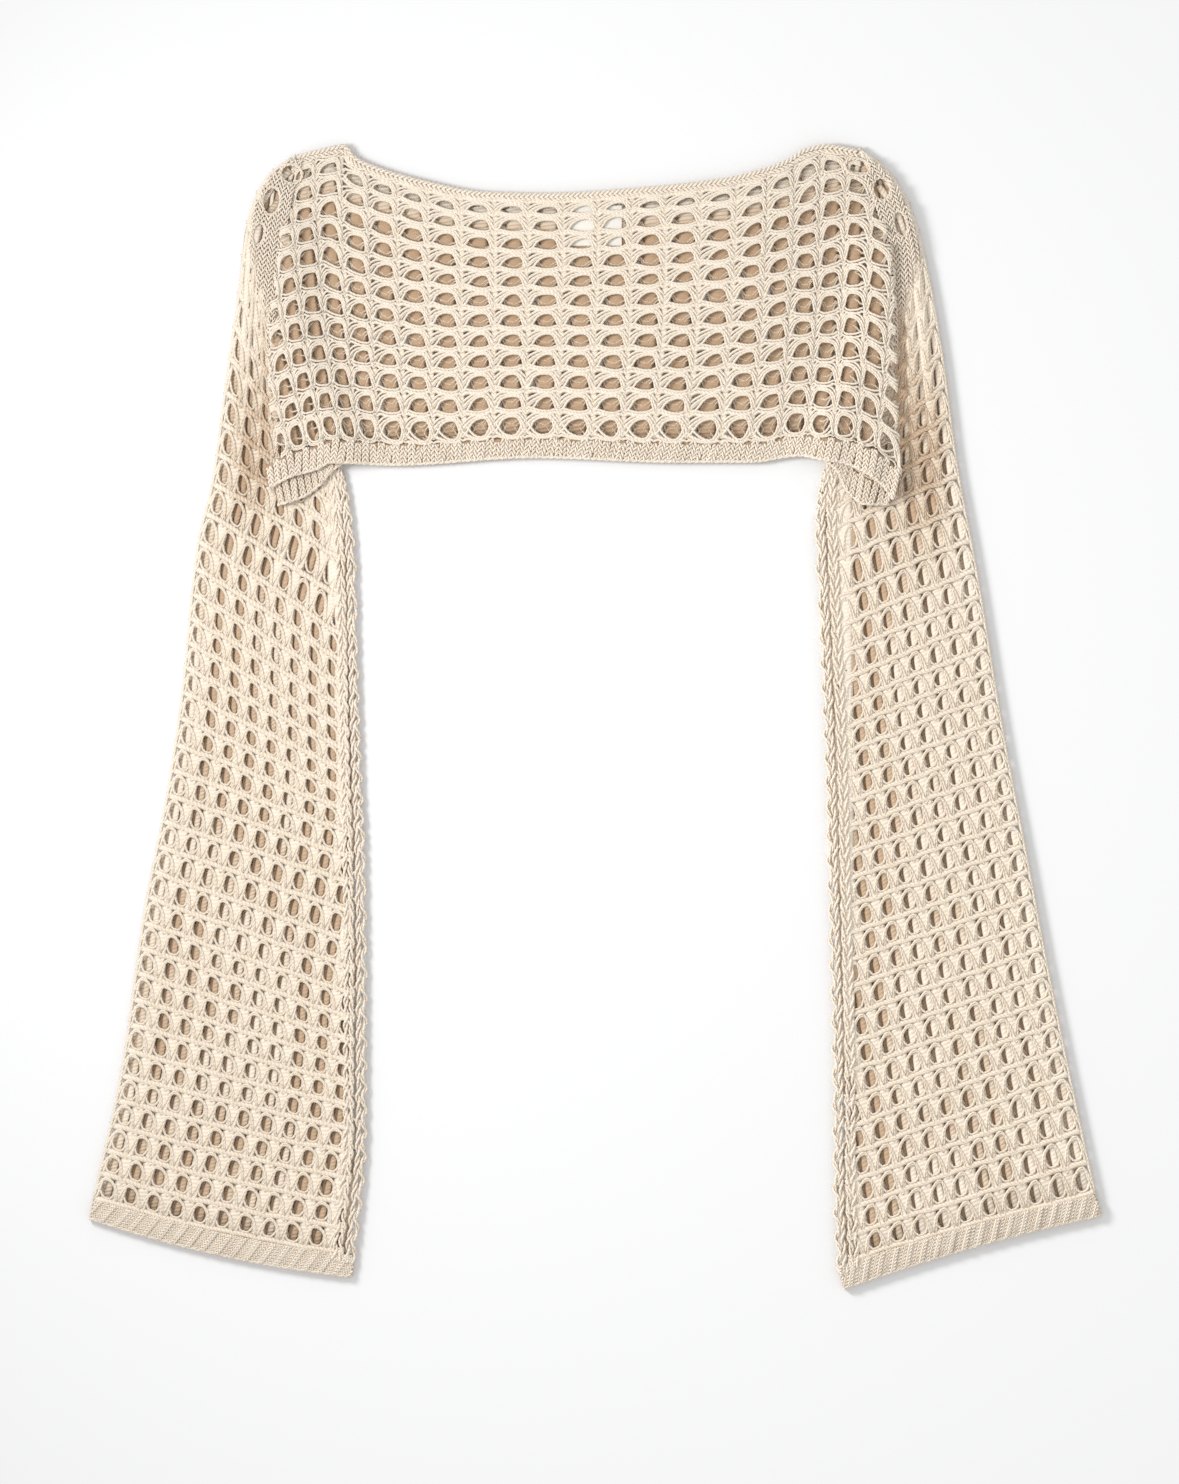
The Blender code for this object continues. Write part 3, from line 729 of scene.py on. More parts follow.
class Strands:
    """Strands of yarn gathered into one mesh of closed tubes."""

    def __init__(self, name: str) -> None:
        """Starts an empty bundle.

        Args:
            name: the name of its piece.
        """
        self.name = name
        self.points: list[Array] = []
        self.quads: list[Array] = []
        self.uv: list[Array] = []
        self.depth: list[Array] = []
        self.openings: Sequence[Opening] = ()
        self.shades: Sequence[Shade] = ()
        self.count = 0

    def add(self, path: Array, radius: float | Array, depth: float | Array = 0.0, sides: int = 4,
            underside_shade: float | Array = 0.5, flat: float = 1.0) -> None:
        """Carries a ring of points along a path, outside the bundle's openings, and closes its ends.

        Each ring is the path's point plus the radius times an angle's cosine across and its sine out.
        What would sink below the surface is pressed flat on it.

        Args:
            path: the strand's middle, one row for each point.
            radius: half its thickness, one value or one for each point.
            depth: painted shade on its top, 0 to 1, standing for how low in the knit it lies.
            sides: points round the strand, an even number.
            underside_shade: how much more painted shade its underside has than its top, one value or one for
                each point.
            flat: its height as a share of its width.
        """
        count = (len(path),)
        radius, depth, underside_shade = (np.broadcast_to(value, count) for value in (radius, depth, underside_shade))
        # Shade falls least on the yarn that lies on top
        falls = TOP_SHADE + (1.0 - TOP_SHADE) * depth
        depth = depth + falls * sum(shade.at(path) for shade in self.shades)
        for run in runs_outside(path, self.openings):
            self.tube(path[run], radius[run, None, None], depth[run, None], underside_shade[run, None], sides, flat)

    def tube(self, path: Array, radius: Array, depth: Array, underside_shade: Array, sides: int, flat: float) -> None:
        """Carries the ring along one unbroken run.

        Args:
            path: the points of the run.
            radius: its thickness at each of them.
            depth: its painted shade at each.
            underside_shade: how much more painted shade its underside has at each.
            sides: points round it.
            flat: its flatness.
        """
        steps = len(path)
        _, level, out = path_frame(path)
        angle = 2.0 * math.pi * np.arange(sides) / sides
        ring = np.cos(angle)[None, :, None] * level[:, None]
        ring = ring + flat * np.sin(angle)[None, :, None] * out[:, None]
        points = (path[:, None] + radius * ring).reshape(-1, 3)
        points[:, 2] = np.maximum(points[:, 2], 0.0)
        self.points.append(points)
        # Undersides are painted darker than tops, as shade falls under the strand
        under = 0.5 - 0.5 * np.sin(angle)
        self.depth.append(np.clip(depth + underside_shade * under, 0.0, 1.0).ravel())
        index = self.count + np.arange(steps * sides).reshape(steps, sides)
        beside = np.roll(index, -1, axis=1)
        wall = np.stack([index[:-1], index[1:], beside[1:], beside[:-1]], axis=-1).reshape(-1, 4)
        caps = np.array([(0, k, k + 1, k + 2) for k in range(1, sides - 2, 2)])
        ends = np.concatenate([index[0][caps], index[-1][caps[:, ::-1]]])
        self.quads += [wall, ends]
        length = (path_length(path) / MM)[:, None]
        turn = (np.arange(sides + 1) / sides)[None]
        corners = ((length[:-1], turn[:, :-1]), (length[1:], turn[:, :-1]),
                   (length[1:], turn[:, 1:]), (length[:-1], turn[:, 1:]))
        corners = [np.stack(np.broadcast_arrays(*corner), axis=-1) for corner in corners]
        self.uv += [np.stack(corners, axis=2).reshape(-1, 2), np.zeros((4 * len(ends), 2))]
        self.count += steps * sides

    def rope(self, path: Array, rope: Rope, hand: int, depth: float | Array = 0.0,
             start: float = 0.0) -> None:
        """Adds two strands wound round a path: helices of one reach across and a flatter one in height.

        Args:
            path: middle of the rope.
            rope: its sizes.
            hand: 1 or -1, which way it winds.
            depth: its painted shade, standing for how low in the knit it lies, one value or one for each of
                the path's points.
            start: share of a turn that its first strand starts at.
        """
        even = even_path(path, rope.step * MM)
        length = path_length(even)
        shaded = np.interp(length, path_length(path), np.broadcast_to(depth, (len(path),)))
        _, level, out = path_frame(even)
        for begin in (start, start + 0.5):
            angle = 2.0 * math.pi * (hand * length / (rope.turn * MM) + begin)
            sideways = np.cos(angle)[:, None] * level
            upward = rope.flat * np.sin(angle)[:, None] * out
            # Its underside is painted darker, as shade falls there
            under = rope.under * (0.5 - 0.5 * np.sin(angle))
            self.add(even + rope.reach * MM * (sideways + upward), rope.radius * MM, shaded + under)

    def build(self, material: bpy.types.Material) -> bpy.types.Object:
        """Puts every strand into one mesh object at the origin.

        Args:
            material: the yarn's finish.

        Returns:
            The object, linked to the scene.
        """
        points = np.concatenate(self.points)
        quads = np.concatenate(self.quads)
        mesh = bpy.data.meshes.new(self.name)
        mesh.vertices.add(len(points))
        mesh.vertices.foreach_set("co", points.astype(np.float32).ravel())
        mesh.loops.add(quads.size)
        mesh.loops.foreach_set("vertex_index", quads.astype(np.int32).ravel())
        mesh.polygons.add(len(quads))
        mesh.polygons.foreach_set("loop_start", np.arange(0, quads.size, 4, dtype=np.int32))
        mesh.polygons.foreach_set("use_smooth", np.ones(len(quads), bool))
        mesh.update(calc_edges=True)
        layer = mesh.uv_layers.new(name="strand")
        layer.data.foreach_set("uv", np.concatenate(self.uv).astype(np.float32).ravel())
        # Painted shade of each point, which the finish turns into warmer, darker colour
        shade = mesh.attributes.new("depth", "FLOAT", "POINT")
        shade.data.foreach_set("value", np.concatenate(self.depth).astype(np.float32))
        mesh.validate()
        mesh.materials.append(material)
        piece = bpy.data.objects.new(self.name, mesh)
        bpy.context.scene.collection.objects.link(piece)
        LOG.info("%s: %d triangles", self.name, 2 * len(quads))
        return piece


def keep(piece: bpy.types.Object, slot: str, *nodes: str) -> bpy.types.Object:
    """Says that a piece rides on the garment and stands for its solids.

    Args:
        piece: the piece.
        slot: not used.
        nodes: the solids that it stands for.

    Returns:
        The piece.
    """
    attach(piece, "root")
    if nodes:
        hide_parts(*nodes)
    return piece


def strand_offsets(knots: Sequence[Knot], across: Array, skew: Array, lean: Array) -> tuple[Array, Array]:
    """How far down a stitch's strand runs and how high, at places across it from -0.5 to 0.5.

    Args:
        knots: the strand's table, from the hole's middle to the column.
        across: places across the stitch.
        skew: how far the arch's peak is moved sideways, in pitches.
        lean: how much further its lower parts are moved, in pitches for each row.

    Returns:
        Rows down, and height in metres.
    """
    places = [k.across for k in knots]
    downs = [k.down for k in knots]
    window = np.cos(math.pi * across) ** 2
    moved = np.clip(np.abs(across - skew * window), 0.0, 0.5)
    slope = np.clip(monotone(places, downs, moved) - 1.0, -LEAN_REACH, LEAN_REACH)
    moved = np.clip(np.abs(across - (skew + lean * slope) * window), 0.0, 0.5)
    return monotone(places, downs, moved), monotone(places, [k.height for k in knots], moved) * MM


def cell_samples(first: float, last: float, places: Array) -> Array:
    """Column places along a strand, the same in each stitch.

    Args:
        first: where the strand starts.
        last: where it ends.
        places: places across a stitch, -0.5 to 0.5.

    Returns:
        The places, from first to last.
    """
    cells = np.arange(math.floor(first) - 1, math.ceil(last) + 1)
    all_places = (cells[:, None] + 0.5 + places[None, :]).ravel()
    inside = all_places[(all_places > first + END_MARGIN) & (all_places < last - END_MARGIN)]
    return np.concatenate([[first], inside, [last]])


@dataclass(frozen=True)
class BodyForm:
    """The flat body's surfaces, the same as its solids'."""
    neck_band_part: float = 0.034
    hem_band_part: float = 0.082
    band_gap: float = 0.8 / 172
    back_neck_drop: float = 5 * MM
    back_inset: float = 0.6 * MM

    def plan(self, u: Array, v: Array, front: bool = True) -> Array:
        """Place on the flat body.

        The four edges are blended: the sum of the two ruled surfaces less the one through the corners.

        Args:
            u: shares from its left side to its right.
            v: shares from the neck edge to the hem.
            front: whether it is the front panel.

        Returns:
            Places in metres, with x and y last.
        """
        hem = FRONT_HEM if front else BACK_HEM
        top_left, top_right = (along_table(NECK_EDGE, np.array(end)) for end in (0.0, 1.0))
        low_left, low_right = (along_table(hem, np.array(end)) for end in (0.0, 1.0))
        top = along_table(NECK_EDGE, u)
        low = along_table(hem, u)
        left = along_table(LEFT_SIDE[:-1] + (Point(*(low_left / MM)),), v)
        right = along_table(RIGHT_SIDE[:-1] + (Point(*(low_right / MM)),), v)
        u = np.asarray(u, float)[..., None]
        v = np.asarray(v, float)[..., None]
        ruled = (1 - v) * top + v * low + (1 - u) * left + u * right
        corners = (1 - v) * ((1 - u) * top_left + u * top_right) + v * ((1 - u) * low_left + u * low_right)
        place = ruled - corners
        if not front:
            middle = 1.0 - (2.0 * u[..., 0] - 1.0) ** 6
            place[..., 1] -= self.back_neck_drop * middle * (1.0 - v[..., 0]) ** 2
            place[..., 0] += self.back_inset * (1.0 - 2.0 * u[..., 0])
        return place

    @staticmethod
    def step_place(table: Sequence[Point], y: Array) -> Array:
        """X of a sleeve's hidden edge at a height on the body.

        Args:
            table: the edge, from its top down.
            y: heights on the body.

        Returns:
            X at each of them.
        """
        x, up = np.array(table[::-1], float).T * MM
        return np.interp(y, up, x)

    def rise(self, place: Array) -> Array:
        """Height of the body's underside.

        It is 0 in the middle and rises by smooth steps over the sleeves at its sides. Near its lower corners
        a ruffle is added, a cosine of the distance in from the side.

        Args:
            place: places in metres, with x and y last.

        Returns:
            The height at each place.
        """
        x = place[..., 0]
        y = place[..., 1]
        left = smooth_step((self.step_place(LEFT_STEP, y) + STEP_RUN - x) / STEP_RUN)
        right = smooth_step((x - self.step_place(RIGHT_STEP, y) + STEP_RUN) / STEP_RUN)
        clear = smooth_step((SHOULDER_FLUSH_Y - y) / (SHOULDER_FLUSH_Y - SHOULDER_LIFTED_Y))
        near = np.minimum(x - FRONT_HEM[0].x * MM, FRONT_HEM[-1].x * MM - x)
        reach = smooth_step(1.0 - near / RUFFLE_REACH)
        low = smooth_step((RUFFLE_TOP_Y - y) / (RUFFLE_TOP_Y - RUFFLE_FULL_Y))
        turn = 2.0 * math.pi * (near - 0.25 * (RUFFLE_FULL_Y - y)) / RUFFLE_WAVE
        ruffle = RUFFLE_HEIGHT * (0.5 - 0.5 * np.cos(turn)) * reach * low
        return LIFT * np.maximum(left, right) * clear + ruffle

    def under(self, u: Array, v: Array, front: bool = True) -> Array:
        """Underside of the front or back panel.

        Args:
            u: shares from its left side to its right.
            v: shares from the neck edge to the hem.
            front: whether it is the front panel.

        Returns:
            Points, with x, y and z last.
        """
        place = self.plan(u, v, front)
        height = self.rise(place)
        if front:
            room = LABEL_ROOM * (1.0 - (2.0 * np.asarray(u) - 1.0) ** 8)
            height = height + PLAIN_WALL + LAYER_GAP + room
        return np.concatenate([place, height[..., None]], axis=-1)


@dataclass(frozen=True)
class BodyNet:
    """Open net of one panel: columns stay nearly upright and are cut off by the slanting sides.

    Its fields say how slim knit gets where columns are narrower than the wide pitch, how holes skew in the
    middle and at the sides, which columns count as side ones, and how the net's edges drop.
    """
    form: BodyForm
    front: bool
    rows: int = 12
    columns: int = 21
    wide_pitch: float = 33.5 * PIXEL
    pitch_span: float = 12.0 * PIXEL
    least_slim: float = 0.13
    more_slim: float = 0.47
    middle_skew: float = 0.14
    left_skew: float = 0.10
    right_skew: float = 0.24
    side_lean: float = 0.12
    side_columns: float = 4.5
    side_run: float = 3.0
    row_growth: float = 0.1
    head_raise: float = 0.006
    front_edge_drop: float = 1.7 * MM
    back_edge_rise: float = 0.8 * MM
    newton_steps: int = 5

    def share_down(self, row: Array) -> Array:
        """Share down the body of a row place, by a square rule that lets rows grow towards the hem.

        Args:
            row: 0 at the net's top and the number of rows at its foot.

        Returns:
            v of each place.
        """
        down = np.asarray(row, float) / self.rows
        first = self.form.neck_band_part + self.form.band_gap
        last = 1.0 - self.form.hem_band_part - self.form.band_gap
        grown = (1.0 - self.row_growth) * down + self.row_growth * down * down
        return first + (last - first) * grown - self.head_raise * (1.0 - down)

    def column_x(self, column: Array, row: Array) -> Array:
        """X of a column place, read from the table; it goes over from top to foot as rows squared.

        Args:
            column: column places.
            row: row places.

        Returns:
            X of each.
        """
        numbers = [c.number for c in HOLE_COLUMNS]
        top = np.array([c.top_x for c in HOLE_COLUMNS]) * MM
        low = np.array([c.low_x for c in HOLE_COLUMNS]) * MM
        down = (np.clip(np.asarray(row, float), 0.0, self.rows) / self.rows) ** 2
        return (1.0 - down) * monotone(numbers, top, column) + down * monotone(numbers, low, column)

    def edges(self, rows: Array) -> tuple[Array, Array]:
        """Column places where rows meet the body's two sides.

        Args:
            rows: the rows.

        Returns:
            The places on the left side and on the right one.
        """
        columns = np.linspace(-1.5, self.columns + 1.5, 400)
        v = self.share_down(rows)
        found = []
        for end in (0.0, 1.0):
            side = self.form.plan(np.full_like(v, end), v, self.front)[..., 0]
            found.append(np.array([np.interp(x, self.column_x(columns, row), columns)
                                   for x, row in zip(side, rows)]))
        return found[0], found[1]

    def pitch_at(self, column: Array, row: Array) -> Array:
        """Width of a column at a place."""
        return self.column_x(column + 0.5, row) - self.column_x(column - 0.5, row)

    def slim(self, column: Array, row: float) -> Array:
        """How much columns give up to their holes: more where they crowd together at the sides.

        Args:
            column: column places.
            row: their row.

        Returns:
            The share of its width that each gives up.
        """
        crowded = smooth_step((self.wide_pitch - self.pitch_at(column, row)) / self.pitch_span)
        return self.least_slim + self.more_slim * crowded

    def sides(self, column: Array) -> tuple[Array, Array]:
        """How near columns are to the left side and to the right one: smooth steps from 0 to 1."""
        return (smooth_step((self.side_columns - column) / self.side_run),
                smooth_step((column - self.columns + self.side_columns) / self.side_run))

    def skew(self, column: Array) -> Array:
        """How far holes lean sideways: to the right in the middle, and in towards the body at its sides."""
        left, right = self.sides(column)
        return self.middle_skew - self.left_skew * left - self.right_skew * right

    def lean(self, column: Array) -> Array:
        """How far the feet of holes are moved sideways, in pitches for each row: outwards at both sides."""
        left, right = self.sides(column)
        return self.side_lean * (right - left)

    def share_across(self, x: Array, v: Array) -> Array:
        """u of a place by its x, found by Newton's steps on the plan.

        Args:
            x: x of each place.
            v: its share down the body.

        Returns:
            Its share across the body.
        """
        ends = [self.form.plan(np.full_like(v, end), v, self.front)[..., 0] for end in (0.0, 1.0)]
        u = np.clip((x - ends[0]) / (ends[1] - ends[0]), 0.0, 1.0)
        small = 1e-4
        for _ in range(self.newton_steps):
            here = self.form.plan(u, v, self.front)[..., 0]
            ahead = self.form.plan(u + small, v, self.front)[..., 0]
            u = np.clip(u + (x - here) * small / (ahead - here), 0.0, 1.0)
        return u

    def points(self, column: Array, row: Array, height: Array) -> Array:
        """Places of a strand on the panel.

        Args:
            column: column places.
            row: row places.
            height: height over the middle of the panel's wall.

        Returns:
            Points, with x, y and z last.
        """
        v = self.share_down(row)
        u = self.share_across(self.column_x(column, row), v)
        place = self.form.under(u, v, self.front)
        width = 2.0 * self.form.plan(np.array([1.0]), np.array([0.5]))[0, 0]
        near = np.minimum(u, 1.0 - u) * width
        drop = (self.front_edge_drop if self.front else -self.back_edge_rise) * (1.0 - fold_round(near))
        place[..., 2] += 0.5 * (WALL if self.front else PLAIN_WALL) + height - drop
        return place


@dataclass(frozen=True)
class SleeveForm:
    """A flattened sleeve's surfaces, the same as its solids'."""
    side: Side
    rows: int = 39
    strip: float = 18 * MM
    cuff_drop: float = 0.7 * MM

    @property
    def courses(self) -> Sequence[Course]:
        """The sleeve's table."""
        return LEFT_SLEEVE if self.side is Side.LEFT else RIGHT_SLEEVE

    def plan(self, row: Array, across: Array) -> tuple[Array, Array]:
        """Place on the flat sleeve.

        A course is a straight run with a parabola of its bow at right angles to it.

        Args:
            row: rows down it.
            across: shares across it, from the outer fold to the inner one.

        Returns:
            Places in metres, and the width at each.
        """
        rows = np.array([c.row for c in self.courses])
        columns = np.array([c[1:] for c in self.courses], float) * MM
        outer_x, outer_y, inner_x, inner_y, bow = (monotone(rows, columns[:, k], row) for k in range(5))
        run_x = inner_x - outer_x
        run_y = inner_y - outer_y
        width = np.hypot(run_x, run_y)
        bend = -np.sign(inner_x) * 4.0 * across * (1.0 - across) * bow
        x = outer_x + run_x * across + run_y / width * bend
        y = outer_y + run_y * across - run_x / width * bend
        return np.stack([x, y], axis=-1), width

    @staticmethod
    def roundness(across: Array, width: Array) -> Array:
        """Share of full height at shares across, by how near the closer fold is."""
        return fold_round(np.minimum(across, 1.0 - across) * width)

    def top(self, row: Array, across: Array) -> Array:
        """Points of the upper outside, with its pleats and rounded folds.

        A pleat is a bell curve across, by the root of a half sine along its rows.

        Args:
            row: rows down it.
            across: shares across it.

        Returns:
            Points, with x, y and z last.
        """
        plan, width = self.plan(row, across)
        flat = np.full(plan.shape[:-1], SLEEVE_HEIGHT)
        for pleat in SLEEVE_PLEATS:
            length = np.clip((row - pleat.first_row) / (pleat.last_row - pleat.first_row), 0.0, 1.0)
            side = (across - pleat.across) / pleat.half_width
            flat = flat + pleat.height * MM * np.sqrt(np.sin(math.pi * length)) * np.exp(-side * side)
        height = FOLD_HEIGHT + (flat - FOLD_HEIGHT) * self.roundness(across, width)
        return np.concatenate([plan, height[..., None]], axis=-1)

    def low(self, row: Array, across: Array) -> Array:
        """Points of the lower outside: flat where it rests, and round towards its folds.

        Args:
            row: rows down it.
            across: shares across it.

        Returns:
            Points, with x, y and z last.
        """
        plan, width = self.plan(row, across)
        height = FOLD_HEIGHT * (1.0 - self.roundness(across, width))
        return np.concatenate([plan, height[..., None]], axis=-1)


@dataclass(frozen=True)
class SleeveNet:
    """Open net of one layer of a sleeve: columns run beside the outer edge, and end in the seam strip."""
    form: SleeveForm
    layer: Layer
    rows: int = 39
    least_slim: float = 0.0
    hole_skew: float = 0.03
    hole_lean: float = 0.3
    upper_end: float = 0.45
    lower_end: float = 0.1
    row_margin: float = 0.1
    pitch_rows: tuple[float, ...] = (-2.0, 0.0, 4.0, 8.0, 14.0, 41.0)
    pitches: tuple[float, ...] = (26.0, 26.0, 23.0, 21.5, 21.8, 24.0)

    def pitch(self, row: Array) -> Array:
        """Width of a column at a row."""
        return monotone(self.pitch_rows, np.array(self.pitches) * PIXEL, row)

    def edges(self, rows: Array) -> tuple[Array, Array]:
        """Column places of the outer fold and of where strands end, inside the seam strip.

        Args:
            rows: the rows.

        Returns:
            The places of the first and of the second.
        """
        _, width = self.form.plan(rows, np.full_like(rows, 0.5))
        inside = self.upper_end if self.layer is Layer.UPPER else self.lower_end
        return np.zeros_like(rows), (width - inside * self.form.strip) / self.pitch(rows)

    def pitch_at(self, column: Array, row: Array) -> Array:
        """Width of a column at a place."""
        return self.pitch(row)

    def slim(self, column: Array, row: float) -> Array:
        """How much columns give up to their holes."""
        return np.full_like(column, self.least_slim)

    def skew(self, column: Array) -> Array:
        """How far holes lean sideways."""
        return np.full_like(column, self.hole_skew)

    def lean(self, column: Array) -> Array:
        """How far the feet of holes are moved sideways, in pitches for each row."""
        return np.full_like(column, self.hole_lean)

    def points(self, column: Array, row: Array, height: Array) -> Array:
        """Places of a strand on its layer.

        Args:
            column: column places.
            row: row places.
            height: height over the middle of the layer's wall.

        Returns:
            Points, with x, y and z last.
        """
        row = np.clip(row, self.row_margin, self.form.rows + self.row_margin)
        _, width = self.form.plan(row, 0.5 * np.ones_like(row))
        across = np.clip(column * self.pitch(row) / width, 0.0, 1.0)
        roundness = self.form.roundness(across, width)
        if self.layer is Layer.UPPER:
            place = self.form.top(row, across)
            place[..., 2] -= 0.5 * WALL * roundness - height
        else:
            place = self.form.low(row, across)
            place[..., 2] += 0.5 * PLAIN_WALL * roundness + height
        return place


@dataclass
class NetBuilder:
    """Fills a net with the strands of its stitch, row by row.

    Its fields are the strands' tables and radius, the unevenness and how strong it is, the places where
    strands are sampled, how far the net is shifted against the other layer, and how much painted shade its
    yarn carries as the shade within the knit: all over, on its underside, save in its pale top rows, by its
    height, and within reach of the net's edges.
    """
    stitch: Sequence[Loop]
    foot: Sequence[Loop]
    radius: float
    wander: Wander
    places: Array
    ease: float = 0.045
    column_shift: float = 0.0
    row_shift: float = 0.0
    depth: float = 0.0
    under: float = 0.15
    follow: float = 0.0
    pale_rows: float = 0.0
    head_drop: float = 0.0
    foot_room: float = 0.16
    height_shade: float = 2.5 * MM
    least_shade: float = -0.05
    most_shade: float = 0.3
    least_under: float = 0.1
    round_thins: float = 0.3
    fade_reach: float = 0.5
    least_post: float = 1.6 * MM
    post_margin: float = 0.15
    post_points: int = 4
    patch_start: tuple[float, float] = (3.0, 1.0)
    patch_scale: tuple[float, float] = (0.5, 0.4)
    patch_reach: float = 0.8
    patch_pale: float = 0.95
    inner_dark: float = 1.6
    inner_start: float = 1.6
    inner_slope: float = 0.4

    def eased(self, column: Array, row: Array) -> tuple[Array, Array]:
        """Small sideways and downward shifts of the stitches at a place."""
        across, down = self.wander.read(column + 2.0, row + 2.0)
        return self.ease * across, self.ease * down

    def fill(self, strands: Strands, net: BodyNet | SleeveNet) -> None:
        """Adds the strands of each bar of knit, from the one over the first holes to the last.

        Args:
            strands: the bundle they go to.
            net: where columns and rows lie.
        """
        bars = np.arange(-1.0, net.rows)
        firsts, lasts = net.edges(np.clip(bars + 1.0, 0.0, net.rows))
        for bar, first, last in zip(bars, firsts, lasts):
            for loop in self.foot if bar == net.rows - 1 else self.stitch:
                column = cell_samples(first, last, self.places[::loop.skip])
                within = (column - self.column_shift) % 1.0 - 0.5
                shift, ease = self.eased(column, np.full_like(column, bar))
                lean = net.lean(column) * (loop.wide == 1.0)
                slimmed = within * (1.0 - net.slim(column, bar) * (1.0 - 2.0 * np.abs(within)))
                down, height = strand_offsets(loop.knots, slimmed, net.skew(column) + ease, lean)
                drop = self.row_shift + (self.head_drop if bar < 0 else 0.0)
                row = np.minimum(bar + 0.5 + down + drop + ease, net.rows + self.foot_room)
                path = net.points(column + shift * np.cos(math.pi * within), row, height)
                inside = np.clip(np.minimum(column - first, last - column) / self.fade_reach, 0.0, 1.0)
                below = smooth_step((row - self.pale_rows + 1.0) if self.pale_rows else np.ones_like(row))
                # Lower strands take more painted shade; the net's own painted shade and its darker undersides
                # fade near its edges
                low_shade = np.clip(-height / self.height_shade, self.least_shade, self.most_shade)
                shaded = self.depth * inside * below + low_shade
                underside_shade = self.least_under + self.under * inside * below
                thins = 1.0 if loop.wide > 1.0 else self.round_thins
                thin = 1.0 - (net.slim(column, bar) - net.least_slim) * thins
                strands.add(path, self.radius * loop.wide * thin, shaded, underside_shade=underside_shade, flat=loop.flat)

    def posts(self, strands: Strands, net: BodyNet | SleeveNet, post: Post) -> None:
        """Adds the flat bundle of crossings behind each column, as far as it lies inside the net.

        Its painted shade is lifted in pale patches that follow the builder's unevenness, and they fade out
        towards the net's inner end, where the shade stays darker.

        Args:
            strands: the bundle they go to.
            net: where columns and rows lie.
            post: the bundle's sizes.
        """
        rows = np.linspace(0.0, net.rows, net.rows + 1)
        firsts, lasts = net.edges(rows)
        for column in np.arange(math.ceil(firsts.min()), math.floor(lasts.max()) + 1) + self.column_shift:
            within = (firsts + self.post_margin < column) & (column < lasts - self.post_margin)
            if within.sum() < self.post_points:
                continue
            run, outer, inner = rows[within], column - firsts[within], lasts[within] - column
            place = np.full_like(run, column)
            shift, _ = self.eased(place, run)
            aside = shift + post.beside + self.follow * net.skew(place)
            path = net.points(place + aside, run, np.full_like(run, post.height * MM))
            width = post.half_width * net.pitch_at(place, run)
            depth = post.depth
            if post.paler is None:
                width = np.maximum(width, self.least_post)
            else:
                patch, _ = self.wander.read(self.patch_scale[0] * place + self.patch_start[0],
                                            self.patch_scale[1] * run + self.patch_start[1])
                innermost = smooth_step(self.inner_start - self.inner_slope * inner)
                pale = 0.5 + 0.5 * post.paler + self.patch_reach * patch - self.inner_dark * innermost
                depth = depth * (1.0 - self.patch_pale * smooth_step(pale))
            below = smooth_step((run - self.pale_rows) if self.pale_rows else np.ones_like(run))
            below = below * smooth_step(np.minimum(outer, inner) / self.fade_reach)
            strands.add(path, width, depth * below, sides=6, underside_shade=0.5 * below, flat=post.flat)


@dataclass(frozen=True)
class Ground:
    """Flat strands under a band's ropes, painted dark as the shade between them, which close what shows
    between them, and its rolled edge.
    """
    lines: tuple[float, ...]
    depth: float
    edge_line: float = 0.95
    edge_rope: Rope = Rope(0.35, 9.0, 0.8, 0.2)
    drop: float = 0.7 * MM
    width: float = 2.6 * MM
    flat: float = 0.12

    def add(self, strands: Strands, path: Array, width: float | None = None) -> None:
        """Adds one such strand.

        Args:
            strands: the bundle it goes to.
            path: its middle.
            width: half its width, if it has one of its own.
        """
        strands.add(path, width or self.width, self.depth, sides=6, flat=self.flat)


